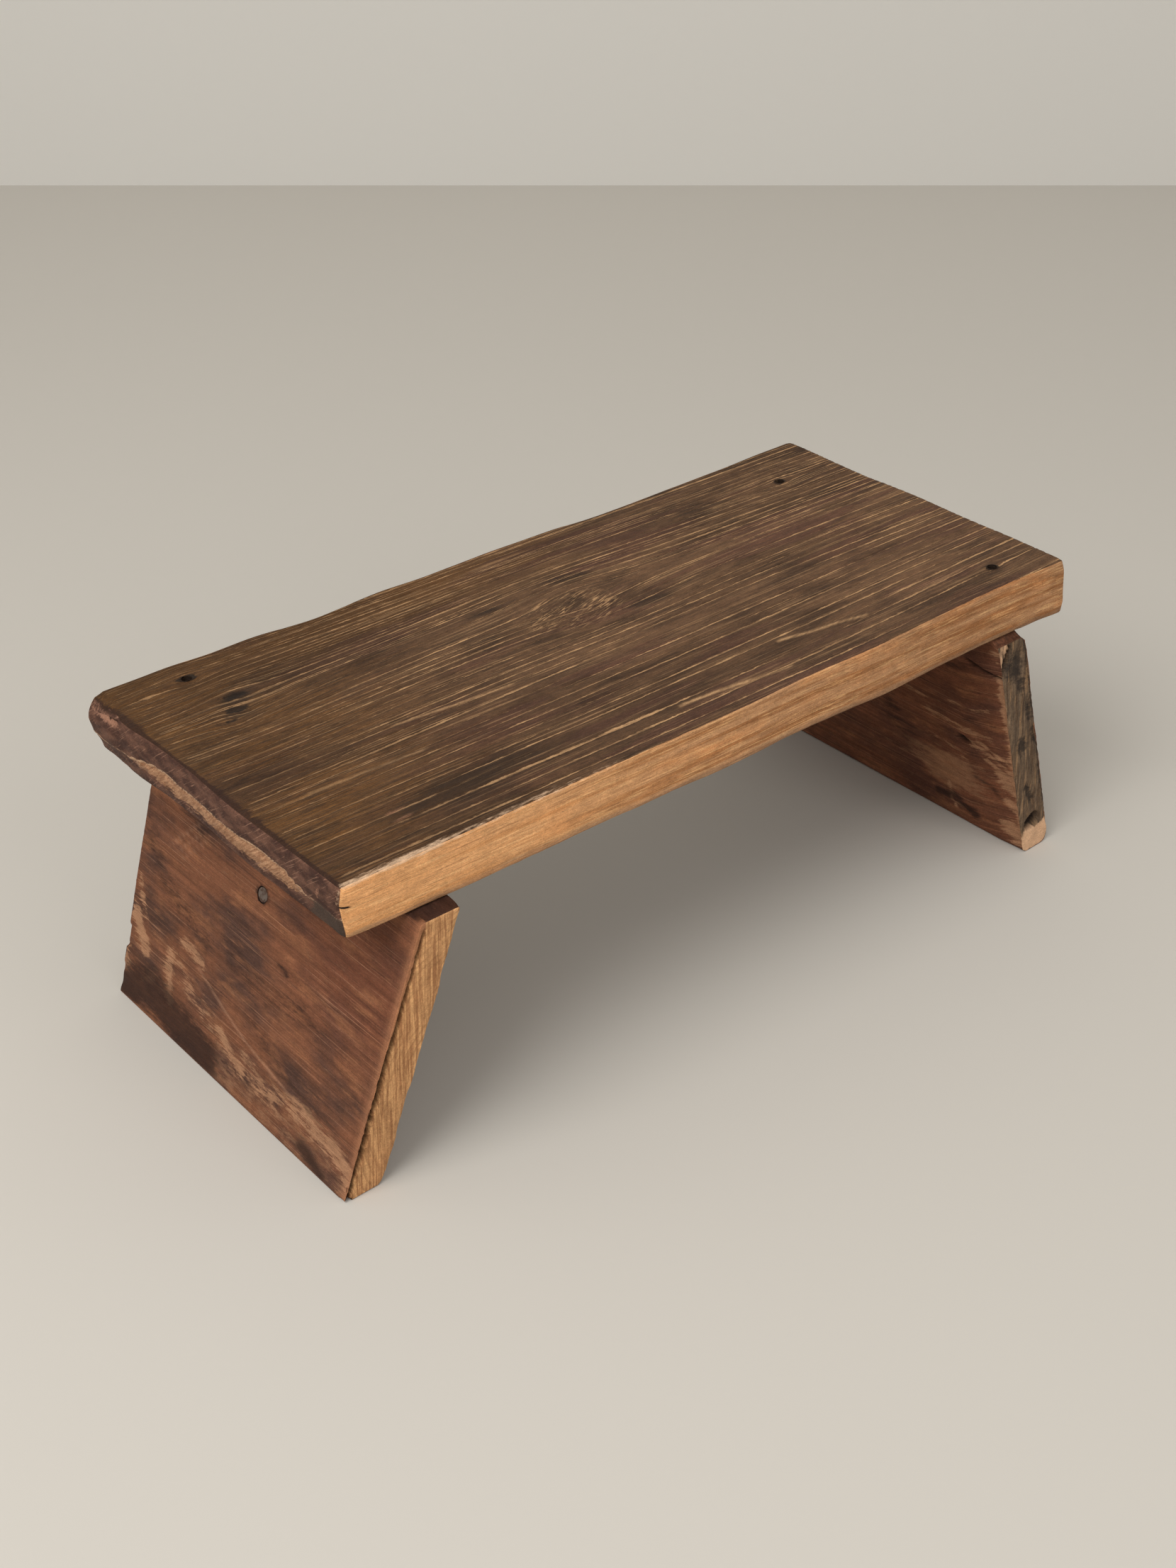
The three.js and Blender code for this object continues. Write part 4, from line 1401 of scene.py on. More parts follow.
def seat_faces(normal, holes):
    """Masks for the seat's six faces."""
    solid = 1 - holes
    return {
        "top": solid * ease(normal[:, 2], *LEVEL_FACING),
        "bottom": ease(-normal[:, 2], *LEVEL_FACING),
        "front": solid * ease(-normal[:, 1], *SIDE_FACING),
        "back": solid * ease(normal[:, 1], *SIDE_FACING),
        "left_end": solid * ease(-normal[:, 0], *SIDE_FACING),
        "right_end": solid * ease(normal[:, 0], *SIDE_FACING),
    }


def top_marks(along, across, top):
    """The swirl, the bright lines, the dark lobes and the ring mark of the seat's top."""
    mark_across = across - RING_MARK_PLACE[1]
    from_mark = np.hypot((along - RING_MARK_PLACE[0]) / RING_MARK_STRETCH, mark_across)
    return {
        "swirl": near_blots(along, across, SWIRL_BLOTS) * top,
        "bright": near_paths(along, across, SEAT_BRIGHT_PATHS) * top,
        "lobes": near_blots(along, across, DARK_LOBE_BLOTS) * top,
        "mark": ease(np.abs(from_mark - RING_MARK_RADIUS), *RING_MARK_EDGE) * top,
    }


def left_end_marks(place, left):
    """The pale, pinkish and black places of the seat's left end, and its dark rim."""
    along, across, up = place.T
    depth = SEAT_HEIGHT - up
    pale = ease(depth + PALE_ARRIS_SLANT * np.abs(across), *PALE_ARRIS_DEPTH) * ease(along, *PALE_ARRIS_ALONG)
    pale *= PALE_ARRIS_SHARE + PALE_ARRIS_WAVER * noise(place, *PALE_ARRIS_WAVE)
    front_corner = FRONT_CORNER_SHARE * ease(across + along, *FRONT_CORNER_REACH) * left
    from_break = np.abs(depth - BROKEN_EDGE_DEPTH)
    broken_edge = left * ease(across, *BROKEN_EDGE_ACROSS) * ease(from_break, *BROKEN_EDGE_REACH)
    pale_patch = left * near_blots(across, up, PALE_PATCH_BLOTS)
    foot = ease(across + BLACK_FOOT_SLANT * (up - UNDERSIDE), *BLACK_FOOT_ACROSS)
    rim = ease(along + RIM_WAVER * noise(place, *RIM_WAVE), *RIM_ALONG)
    return {
        "pale": np.maximum(pale, front_corner),
        "pinkish": np.maximum(broken_edge, pale_patch),
        "black": left * foot * ease(up, *BLACK_FOOT_UP),
        "rim": rim * ease(depth, *RIM_DEPTH),
    }


def seat_relief(place, normal, groove_depth):
    """How deep each vertex is carved into the plank, and the zones that the finish reads."""
    along, across, up = place.T
    holes = in_holes(place, nail_ends()[SEAT_HOLE_NAILS])
    zones = seat_faces(normal, holes)
    top = zones.pop("top")
    left = zones["left_end"]
    knots = knot_mask(along, across, SEAT_KNOTS)
    flow = grain_flow(along, across, SEAT_KNOTS)
    rows = np.column_stack((along, flow, up))
    lines = seat_lines(place, flow)
    fibres = swell(rows, SEAT_FIBRES)
    facets = swell(place, END_FACETS)
    scars = swell(place, END_SCARS)
    facet = facet_field(across, up) + FACET_WAVER * noise(place, *FACET_WAVE)

    carve = top * groove_depth * (
        BRUSHED_SHARE * line_grooves(lines) + FIBRE_SHARE * fibres + HOLLOW_SHARE * swell(rows, SEAT_HOLLOWS))
    carve += top * KNOT_DEPTH * knots * blend(KNOT_SMOOTH_SHARE, 1, fibres)
    carve += zones["front"] * groove_depth * (
        PLANED_SHARE * swell(place, PLANED_WAVES) + SAWN_SHARE * swell(place, SAW_MARKS))
    carve += zones["bottom"] * BOTTOM_SAW_DEPTH * swell(place, BOTTOM_SAW_MARKS)
    carve += left * (END_FACET_DEPTH * facets + END_SCAR_DEPTH * scars)
    carve += zones["right_end"] * RIGHT_END_DEPTH * (facets + scars)
    carve += left * PALE_FACET_DEPTH * (ease(facet, *FACET_INSIDE) - ease(np.abs(facet), *FACET_RIDGE))
    near_left = ease(along, *CHIP_ALONG) * ease(SEAT_HEIGHT - up, *CHIP_DEPTH_SPAN)
    carve += CHIP_DEPTH * ease(noise(place, *ARRIS_CHIPS), *CHIP_EDGE) * near_left

    zones.update(lines)
    zones.update(top_marks(along, across, top))
    zones.update(left_end_marks(place, left))
    front_foot = zones["front"] * ease(up, UNDERSIDE + LOW_FRONT_HEIGHT, UNDERSIDE + LOW_FRONT_FULL)
    # The knots' dark wood, and painted shade on the walls and rims of the nail holes.
    zones.update({"knot_and_hole_shade": np.maximum(knots, holes), "grain": rows, "facet": facet, "low": front_foot})
    return carve, zones


def build_seat(settings):
    seat = add_block("teak_seat_plank", SEAT_ROWS)
    mesh = seat.data
    place = seat_form(vertex_places(mesh), settings.arris)
    flake = broken_corner(place)
    broken = (flake > 0) & (SEAT_HEIGHT - place[:, 2] < flake)
    lowered = SEAT_HEIGHT - flake - BROKEN_ROUGHNESS * (1 + noise(place, *BROKEN_WAVE))
    place[:, 2] = np.where(broken, np.minimum(place[:, 2], lowered), place[:, 2])
    place_vertices(mesh, place)
    for name, head, direction, radius in nail_ends()[SEAT_HOLE_NAILS]:
        drill(seat, head, direction, radius + JOINT_GAP, 2 * SEAT_NAIL_SINK, name + "_hole")
    mesh = seat.data
    place = vertex_places(mesh)
    normal = vertex_normals(mesh)
    carve, zones = seat_relief(place, normal, settings.groove_depth)
    place_vertices(mesh, place - normal * carve[:, None] + BENCH_CORNER)
    for name, values in zones.items():
        paint(mesh, name, values)
    return seat


def open_lines(finish, count, opening, ragged, widest):
    """Pale lines at each whole count, as wide as they are open, and a painted shadow along one side of each.
    """
    shifted = finish.math("ADD", finish.number(count), finish.between(ragged, *LINE_WAVER))
    offset = finish.math("SUBTRACT", finish.math("FRACT", shifted), 0.5)
    width = finish.between(finish.number(opening), *LINE_OPEN, widest)
    inside = finish.math("SUBTRACT", width, finish.math("ABSOLUTE", offset))
    below = finish.math("ABSOLUTE", finish.math("ADD", offset, widest * LINE_SHADOW_DROP))
    shadow = finish.math("SUBTRACT", finish.math("MULTIPLY", width, LINE_SHADOW_SHARE), below)
    return finish.between(inside, *LINE_EDGE), finish.between(shadow, *LINE_SHADOW_EDGE)


def swirl_feathers(finish, swirl):
    """Short pale strokes in the grain's swirl, turned away from the grain, and the clefts by them."""
    turned = finish.turned(finish.object_place(), -SWIRL_TURN, "Z_AXIS")
    strokes = finish.patterns(turned, SWIRL_PATTERNS)
    swirl = finish.math("MULTIPLY", swirl, finish.span(strokes, SWIRL_THINNED))
    feathers = finish.math("MULTIPLY", finish.span(strokes, SWIRL_FEATHERS), swirl)
    clefts = finish.math("MULTIPLY", finish.span(strokes, SWIRL_CLEFTS), swirl)
    return feathers, finish.math("MULTIPLY", clefts, CLEFT_SHARE)


def top_skin(finish, settings, wood):
    """The top's brown under its lines, golden by the left end and the back edge."""
    mottled = finish.math("ADD", wood["patches"], finish.span(wood, TOP_MOTTLE))
    skin = finish.mix(finish.between(mottled, *TOP_SKIN), settings.dark, settings.skin)
    gold = finish.math("MAXIMUM", finish.spans(wood, LEFT_GOLD), finish.spans(wood, BACK_GOLD))
    skin = finish.mix(gold, skin, settings.golden)
    skin = finish.mix(finish.spans(wood, RED_PATCHES), skin, RED_BROWN)
    return finish.coat(skin, TOP_LAYERS, wood)


def top_lines(finish, wood):
    """Where the top's pale streaks show, and the painted shadows beside them, with the swirl's dark clefts.
    """
    wide, wide_shadow = open_lines(finish, "ring", "opening", wood["ragged"], WIDE_LINES["widest"])
    fine, fine_shadow = open_lines(finish, "fine_ring", "fine_opening", wood["ragged"], FINE_LINES["widest"])
    wood["swirl"] = finish.between(finish.number("swirl"), *SWIRL_EDGE)
    feathers, clefts = swirl_feathers(finish, wood["swirl"])
    bright = finish.math("MULTIPLY", finish.number("bright"), finish.span(wood, BRIGHT_WEAR))
    lines = finish.math("MULTIPLY", finish.math("MAXIMUM", wide, fine), finish.span(wood, LINE_WEAR))
    lines = finish.math("MAXIMUM", lines, bright, finish.span(wood, HAIRS))
    lines = finish.math("MULTIPLY", lines, finish.span(wood, LINE_FADE), finish.span(wood, LINE_IN_SWIRL))
    streaks = finish.math("MAXIMUM", lines, finish.math("MULTIPLY", feathers, FEATHER_SHARE))
    shadows = finish.math("MULTIPLY", finish.math("MAXIMUM", wide_shadow, fine_shadow), SHADOW_SHARE)
    return streaks, finish.math("MAXIMUM", shadows, clefts)


def brushed_top(finish, settings, wood):
    """Colour of the seat's top, and its streaks for the relief."""
    skin = finish.coat(top_skin(finish, settings, wood), LOBE_LAYERS, wood)
    streaks, shadows = top_lines(finish, wood)
    # Painted shadows beside the pale lines, and the swirl's dark clefts, in the dark brown.
    colour = finish.mix(shadows, skin, settings.dark)
    colour = finish.mix(finish.math("MULTIPLY", streaks, STREAK_SHARE), colour, settings.streak)
    # Dark knots, and painted shade in the nail holes.
    colour = finish.coat(colour, KNOT_AND_HOLE_SHADE_LAYERS, wood)
    mark = finish.math("MULTIPLY", finish.number("mark"), finish.span(wood, RING_MARK_WEAR))
    colour = finish.mix(mark, colour, RING_MARK_TONE)
    return finish.coat(colour, RIM_LAYERS, wood), streaks


def hewn_colour(finish, here, speckle):
    """Colour of the hewn left end: dark, with a pale facet, scratches and a black foot."""
    wood = finish.patterns(here, HEWN_PATTERNS)
    wood.update(finish.patterns(finish.turned(here, HEWN_TURN, "X_AXIS"), SCRATCH_PATTERNS))
    wood["speckle"] = speckle
    wood["upper"] = finish.between(finish.parts(here)["Z"], *HEWN_UPPER)
    wood["black"] = finish.frayed("black", wood["ragged"], BLACK_FRAY)
    frayed = finish.math("ADD", finish.number("facet"), finish.spans(wood, FACET_FRAY))
    wood["facet"] = finish.math("ADD", frayed, finish.span(wood, FACET_SCRATCHES))
    hewn = finish.coat(HEWN_DARK, HEWN_LAYERS, wood)
    tan_colour = finish.coat(FACET_TAN, FACET_LAYERS, wood)
    hewn = finish.mix(finish.span(wood, FACET_SHOWS), hewn, tan_colour)
    ridge = finish.math("MULTIPLY", finish.spans(wood, FACET_RIDGE_SPANS), wood["upper"], RIDGE_SHARE)
    hewn = finish.mix(ridge, hewn, FACET_RIDGE_TONE)
    return finish.coat(hewn, HEWN_FOOT_LAYERS, wood)


def front_check(finish, here):
    """A short slanted crack at the left end of the front face, drawn only as painted shade."""
    parts = finish.parts(here)
    along = finish.math("SUBTRACT", parts["X"], float(BENCH_CORNER[0]))
    across = finish.math("SUBTRACT", parts["Y"], float(BENCH_CORNER[1]))
    drop = finish.math("MULTIPLY", along, FRONT_CHECK_SLOPE)
    level = finish.math("ADD", finish.math("SUBTRACT", parts["Z"], FRONT_CHECK_HEIGHT), drop)
    open_here = finish.between(finish.math("ABSOLUTE", level), *FRONT_CHECK_WIDTH)
    ended = finish.between(along, FRONT_CHECK_LENGTH, FRONT_CHECK_FULL_SHARE * FRONT_CHECK_LENGTH)
    return finish.math("MULTIPLY", open_here, ended, finish.between(across, *FRONT_CHECK_ACROSS))


def seat_wood(settings):
    """Dark brushed top with pale open grain, tan sawn front and hewn left end."""
    finish = Finish("teak_seat_wood")
    grain = finish.place("grain")
    here = finish.object_place()
    wood = finish.patterns(grain, SEAT_PATTERNS)
    wood.update(finish.patterns(here, SEAT_BACK_PATTERNS))
    wood["along"] = finish.parts(grain)["X"]
    wood["across"] = finish.parts(grain)["Y"]
    wood["ring"] = finish.math("FRACT", finish.number("ring"))
    for zone in ("bottom", "left_end", "right_end"):
        wood[zone] = finish.number(zone)
    for zone, pattern, reach in SEAT_FRAYED_ZONES:
        wood[zone] = finish.frayed(zone, wood[pattern], reach)

    colour, wood["streaks"] = brushed_top(finish, settings, wood)
    sawn = finish.mix(finish.span(wood, SAWN_BANDS), SAWN_DARK, settings.sawn)
    sawn = finish.coat(sawn, SAWN_LAYERS, wood)
    faces = (
        (sawn, "front", *FRAYED_EDGE),
        (finish.coat(sawn, OLD_BACK_LAYERS, wood), "back", *FRAYED_EDGE),
        (finish.coat(ROUGH_SAWN_DARK, ROUGH_SAWN_LAYERS, wood), "bottom", *FACE_EDGE),
        (hewn_colour(finish, here, wood["speckle"]), "left_end", *FACE_EDGE),
        (finish.coat(RIGHT_END_DARK, RIGHT_END_LAYERS, wood), "right_end", *FACE_EDGE),
    )
    colour = finish.coat(colour, faces + PALE_LAYERS, wood)
    # Painted shade of the crack.
    colour = finish.mix(front_check(finish, here), colour, CHECK_SHADE)

    colour, wood["dust"] = finish.grit(colour, grain)
    normal = finish.bump(finish.relief(wood, SEAT_RELIEF_SHARES), WOOD_BUMP)
    return finish.done(colour, finish.span(wood, SEAT_ROUGHNESS), normal)


def leg_form(leg, shares, arris):
    """Places the block's vertices on a leg."""
    across_thickness = np.interp(shares[:, 0], *leg["thickness_row_shares"])
    across = spread_rows(shares[:, 1], *LEG_WIDTH_ROW_SHARES)
    up = spread_rows(shares[:, 2], *LEG_HEIGHT_ROW_SHARES)
    width = SEAT_WIDTH + leg["front_top"] + leg["back_top"]
    size = (LEG_THICKNESS, width, LEG_TOP)
    place = np.column_stack((across_thickness, across, up)) * size
    left = leg["side"] == "left"
    outer = (place[:, 0] < LEG_THICKNESS / 2) == left
    high = place[:, 2] > LEG_TOP / 2
    top_radius = np.where(outer, leg["outer_top"], leg["inner_top"])
    foot_radius = np.where(outer, leg["outer_foot"], leg["inner_foot"])
    corner = np.where(high, top_radius, foot_radius)
    wear = 1 + LEG_WEAR_SHARE * noise(place, *LEG_WEAR)
    place = soften(place, size, [0, 2], corner, arris * wear)
    height = place[:, 2]
    into_share = place[:, 0] / LEG_THICKNESS if left else 1 - place[:, 0] / LEG_THICKNESS
    inset = blend(leg_outer(leg, height), leg_inner(leg, height), into_share)
    back = SEAT_WIDTH + blend(leg["back_foot"], leg["back_top"], height / LEG_TOP)
    across = blend(-leg_front(leg, height), back, place[:, 1] / width)
    return np.column_stack((along_seat(leg, inset), across, height))


def leg_faces(leg, place, normal, nail):
    """Masks for a leg's faces and its nail's hole, the depth from its outer face, and its grain."""
    holes = in_holes(place, [nail])
    solid = 1 - holes
    facing = normal @ np.array(leg_outward(leg))
    faces = {
        "outer": solid * ease(facing, *SIDE_FACING),
        "inner": ease(-facing, *SIDE_FACING),
        "front": solid * ease(-normal[:, 1], *SIDE_FACING),
        "back": solid * ease(normal[:, 1], *SIDE_FACING),
        "top": ease(normal[:, 2], *LEG_TOP_FACING),
        "hole": holes,
    }
    inset = place[:, 0] if leg["side"] == "left" else SEAT_LENGTH - place[:, 0]
    slope = math.cos(leg_splay(leg))
    into = (inset - leg_outer(leg, place[:, 2])) * slope
    return faces, into, np.column_stack((place[:, 1], place[:, 2] / slope, into))


def end_split(place, into):
    """The split down the left leg's front end, its lip on the outer side, and its ragged edge."""
    up = place[:, 2]
    ragged = noise(place, *SPLIT_WAVE) + SPLIT_FINE_SHARE * noise(place, *SPLIT_FINE_WAVE)
    opening = blend(*SPLIT_HALF_WIDTHS, ease(up, *SPLIT_NARROWING))
    middle = blend(*SPLIT_PLACES, ease(up, *SPLIT_TURNING)) + SPLIT_WAVER * ragged
    split = ease(np.abs(into - middle), opening + SPLIT_OUTSIDE, opening - SPLIT_INSIDE)
    lip = ease(into, middle + LIP_OUTSIDE, middle - LIP_INSIDE)
    return split * ease(up, *SPLIT_TOP), lip, ragged


def left_leg_relief(place, normal, nail):
    """How deep each vertex is carved into the left leg, and the zones that its finish reads."""
    faces, into, rows = leg_faces(LEFT_LEG, place, normal, nail)
    along, across, up = place.T
    outer = faces["outer"]
    front = faces["front"]
    from_front = across + leg_front(LEFT_LEG, up)
    front_side = ease(from_front, *FRONT_SIDE_REACH)
    torn = near_paths(across, up, LEFT_TORN_PATHS)
    lines = near_paths(across, up, LEFT_LINE_PATHS)
    boundary = LOW_BAND_HEIGHT + LOW_BAND_WAVER * noise(place, *LOW_BAND_WAVE)
    low = outer * ease(up - boundary, *LOW_BAND_EDGE) * ease(across, *LOW_BAND_END)
    split, lip, ragged = end_split(place, into)
    fibres = swell(rows, LEFT_FIBRES)
    lumps = swell(rows, LEFT_LUMPS)
    chips = ease(noise(place, *LEFT_CHIPS), *CHIP_EDGE)
    hollow = faces["inner"] * ease(np.abs(up - LEFT_HOLLOW_HEIGHT), *LEFT_HOLLOW_REACH)
    near_back = ease(into, *BACK_ARRIS_INTO) * ease(across - BACK_ARRIS_PLACE, *BACK_ARRIS_ACROSS)

    carve = (outer + faces["inner"]) * (LEFT_FIBRE_DEPTH * fibres + LEFT_LUMP_DEPTH * lumps)
    frayed = torn + TORN_FRAY_SHARE * noise(rows, *LEFT_TORN_WAVE)
    carve += outer * LEFT_TORN_DEPTH * ease(frayed, *LEFT_TORN_EDGE)
    carve += LOW_BAND_DEPTH * low
    carve += outer * SCRATCH_DEPTH * lines
    carve += front_side * SPLIT_DEPTH * split
    carve += front * END_SAW_DEPTH * swell(place, END_SAW_MARKS)
    carve += LEFT_HOLLOW_DEPTH * hollow * ease(across, *LEFT_HOLLOW_ACROSS)
    inner_arris = ease(LEG_THICKNESS - into, *INNER_ARRIS_INTO) * front_side
    carve += INNER_ARRIS_DEPTH * swell(place, INNER_ARRIS_WAVE) * inner_arris
    carve += faces["back"] * (BACK_CHIP_DEPTH * chips + LEFT_BACK_LUMP_DEPTH * lumps)
    carve += BACK_ARRIS_DEPTH * chips * near_back

    stain = outer * near_paths(across, up, LEFT_STAIN_PATHS)
    worn_front = outer * ease(from_front, *WORN_FRONT_REACH) * blend(WORN_FRONT_SHARE, 1, ragged)
    split_shows = split * np.maximum(front, SPLIT_SIDE_SHARE * front_side)
    from_pith = np.hypot(along - PITH_PLACE[0], up - PITH_PLACE[1])
    return carve, {
        "front": front,
        "grain": rows,
        "torn": torn * outer,
        "line": lines * outer,
        "low": LOW_BAND_SHARE * low,
        "red": outer * near_blots(across, up, LEFT_RED_BLOTS),
        "stain": np.maximum(stain, LEFT_TOP_STAIN * faces["top"]),
        # Painted shade inside the split and the nail's hole.
        "split": np.maximum(split_shows, HOLE_SHARE * faces["hole"]),
        "lip": np.maximum(lip * front_side, worn_front),
        "ring": from_pith / PITH_RING_SPACING + PITH_RING_WAVER * noise(place, *PITH_RING_WAVE),
    }


def right_leg_relief(place, normal, nail):
    """How deep each vertex is carved into the right leg, and the zones that its finish reads."""
    faces, into, rows = leg_faces(RIGHT_LEG, place, normal, nail)
    along, across, up = place.T
    inner = faces["inner"]
    front = faces["front"]
    rows[:, 1] -= FAN_SLOPE * np.maximum(FAN_START - across, 0)
    torn = near_paths(across, up, RIGHT_TORN_PATHS)
    hole = inner * ease(near_blots(across, up, RIGHT_HOLE_BLOTS), *RIGHT_HOLE_EDGE)
    crack = inner * near_paths(across, up, RIGHT_FACE_CRACK_PATHS)
    end_crack = front * near_paths(along, up, RIGHT_END_CRACK_PATHS)
    knots = front * near_paths(along, up, RIGHT_END_KNOT_PATHS)
    end_hole = front * ease(near_paths(along, up, RIGHT_END_HOLE_PATHS), *END_HOLE_EDGE)
    chip = front * ease(up, *END_CHIP_UP) * ease(along, *END_CHIP_ALONG)
    fibres = swell(rows, RIGHT_FIBRES)
    lumps = swell(rows, RIGHT_LUMPS)
    rough = swell(place, END_ROUGH)
    finer = swell(place, END_FINE)
    teeth = swell(place, ARRIS_TEETH) + TEETH_FINE_SHARE * noise(place, *ARRIS_FINE_TEETH)
    near_arris = ease(LEG_THICKNESS - into, *TEETH_INTO) * ease(across, *TEETH_ACROSS)

    carve = (faces["outer"] + inner) * (RIGHT_FIBRE_DEPTH * fibres + RIGHT_LUMP_DEPTH * lumps)
    frayed = torn + TORN_FRAY_SHARE * noise(rows, *RIGHT_TORN_WAVE)
    carve += inner * RIGHT_TORN_DEPTH * ease(frayed, *RIGHT_TORN_EDGE)
    carve += RIGHT_HOLE_DEPTH * hole
    carve += FACE_CRACK_DEPTH * crack
    carve += END_CRACK_DEPTH * end_crack
    carve += END_KNOT_DEPTH * knots + END_HOLE_DEPTH * end_hole
    carve += front * (END_ROUGH_DEPTH * rough + END_FINE_DEPTH * finer)
    carve += END_CHIP_DEPTH * chip
    carve += TEETH_DEPTH * teeth * near_arris
    carve += faces["back"] * (BACK_CHIP_DEPTH * rough + RIGHT_BACK_LUMP_DEPTH * lumps)

    stain = inner * near_paths(across, up, RIGHT_STAIN_PATHS)
    # Painted light: a paler patch low on the inner face by its front.
    low = near_blots(across, up, RIGHT_LIT_BLOTS) + RIGHT_LIT_WAVER * noise(rows, *RIGHT_LIT_WAVE)
    low_end = ease(up + LOW_END_WAVER * noise(place, *LOW_END_WAVE), *LOW_END_UP)
    low_end *= ease(along, *LOW_END_ALONG)
    dark_rim = front * ease(into, *END_RIM_INTO) * ease(up, *END_RIM_UP)
    top_stain = RIGHT_TOP_STAIN * faces["top"]
    return carve, {
        "front": front,
        "grain": rows,
        "torn": torn * inner,
        "low": low * inner,
        "red": RIGHT_RED_SHARE * inner,
        "stain": np.maximum.reduce([stain, knots, END_RIM_SHARE * dark_rim, top_stain]),
        # Painted shade inside the cracks, the holes and the nail's hole.
        "split": np.maximum.reduce([crack, end_crack, hole, end_hole, HOLE_SHARE * faces["hole"]]),
        "low_end": front * np.maximum(low_end, CHIP_LOW_END_SHARE * chip),
    }


def build_leg(leg, name, settings, relief, nail):
    block = add_block(name, LEG_ROWS)
    mesh = block.data
    place_vertices(mesh, leg_form(leg, vertex_places(mesh), settings.arris))
    nail_name, head, direction, radius = nail
    drill(block, head, direction, radius + JOINT_GAP, 2 * NAIL_HEAD_THICKNESS, nail_name + "_hole")
    mesh = block.data
    place = vertex_places(mesh)
    normal = vertex_normals(mesh)
    carve, zones = relief(place, normal, nail)
    carved = place - normal * carve[:, None]
    proud_top = ease(place[:, 1], *PROUD_TOP_ACROSS) * ease(place[:, 2], PROUD_TOP_START, LEG_TOP)
    carved[:, 2] -= leg["top_wear"] * proud_top
    carved[:, 2] = np.clip(carved[:, 2], 0, LEG_TOP)
    place_vertices(mesh, carved + BENCH_CORNER)
    for zone, values in zones.items():
        paint(mesh, zone, values)
    return block


def leg_skin(finish, settings, wood):
    """Reddish brown of a leg's broad faces, with fine grain, torn pale patches and stains."""
    skin = finish.mix(finish.span(wood, LEG_SKIN), LEG_DULL, settings.skin)
    skin = finish.mix(finish.math("MULTIPLY", finish.number("red"), RED_SHARE), skin, LEG_RED)
    skin = finish.coat(skin, LEG_LAYERS, wood)
    scratch = finish.math("MULTIPLY", finish.number("line"), finish.span(wood, SCRATCH_WEAR))
    skin = finish.mix(scratch, skin, SCRATCH_TONE)
    streaks = finish.math("ADD", wood["ragged"], finish.math("MULTIPLY", wood["lines"], TORN_LINE_SHARE))
    torn = finish.math("ADD", finish.number("torn"), finish.between(streaks, *TORN_STREAKS))
    bare = finish.coat(settings.bare, BARE_LAYERS, wood)
    skin = finish.mix(finish.between(torn, *TORN_SHOWS), skin, bare)
    dark = finish.coat(settings.dark, STAIN_LAYERS, wood)
    return finish.mix(finish.span(wood, STAIN_SHOWS), skin, dark)


def left_end_grain(finish, settings, wood):
    """Golden sawn end grain with rings about the pith and a worn lip."""
    ring = {"ring": finish.math("FRACT", finish.number("ring")), "fading": wood["fading"]}
    end = finish.mix(finish.span(wood, END_STRIPES), LEFT_END_DARK, settings.end_grain)
    end = finish.mix(finish.spans(ring, LATE_WOOD), end, finish.shade(LEFT_END_DARK, LATE_WOOD_SHADE))
    end = finish.coat(end, END_LAYERS, wood)
    lip = finish.math("MULTIPLY", finish.number("lip"), END_LIP_SHARE)
    return finish.mix(lip, end, END_LIP_TONE)


def right_end_grain(finish, settings, wood):
    """Grey weathered end grain with fresh and dark places."""
    end = finish.mix(finish.span(wood, END_STRIPES), RIGHT_LEG_END_DARK, settings.grey)
    end = finish.coat(end, END_LAYERS, wood)
    weathering = finish.patterns(finish.object_place(), WEATHERING_PATTERNS)
    weathering["low_end"] = finish.frayed("low_end", weathering["old"], -LOW_END_FRAY, LOW_END_FRAY_ENDS)
    weathering["stain"] = wood["stain"]
    return finish.coat(end, WEATHERED_LAYERS, weathering)


def leg_wood(settings, name, end_grain, lip):
    """Reddish brown faces, with the leg's own end grain and the pale lip of its split."""
    finish = Finish(name)
    grain = finish.place("grain")
    wood = finish.patterns(grain, LEG_PATTERNS)
    wood.update(finish.patterns(finish.object_place(), LEG_END_PATTERNS))
    wood["front"] = finish.number("front")
    # Pale band by the left leg's foot; painted light on the right leg's inner face.
    wood["low"] = finish.frayed("low", wood["ragged"], LEG_LOW_FRAY, LEG_FRAY_ENDS)
    wood["stain"] = finish.frayed("stain", wood["ragged"], STAIN_FRAY, LEG_FRAY_ENDS)
    end = end_grain(finish, settings, wood)
    colour = finish.mix(finish.span(wood, LEG_FRONT), leg_skin(finish, settings, wood), end)
    if lip:
        colour = finish.mix(finish.math("MULTIPLY", finish.number("lip"), LIP_SHARE), colour, LIP_TONE)
    # Painted shade inside the splits, cracks and holes.
    colour = finish.mix(finish.number("split"), colour, SPLIT_AND_HOLE_SHADE)
    colour, wood["dust"] = finish.grit(colour, grain)
    height = finish.relief(wood, LEG_RELIEF_SHARES)
    return finish.done(colour, finish.span(wood, LEG_ROUGHNESS), finish.bump(height, WOOD_BUMP))


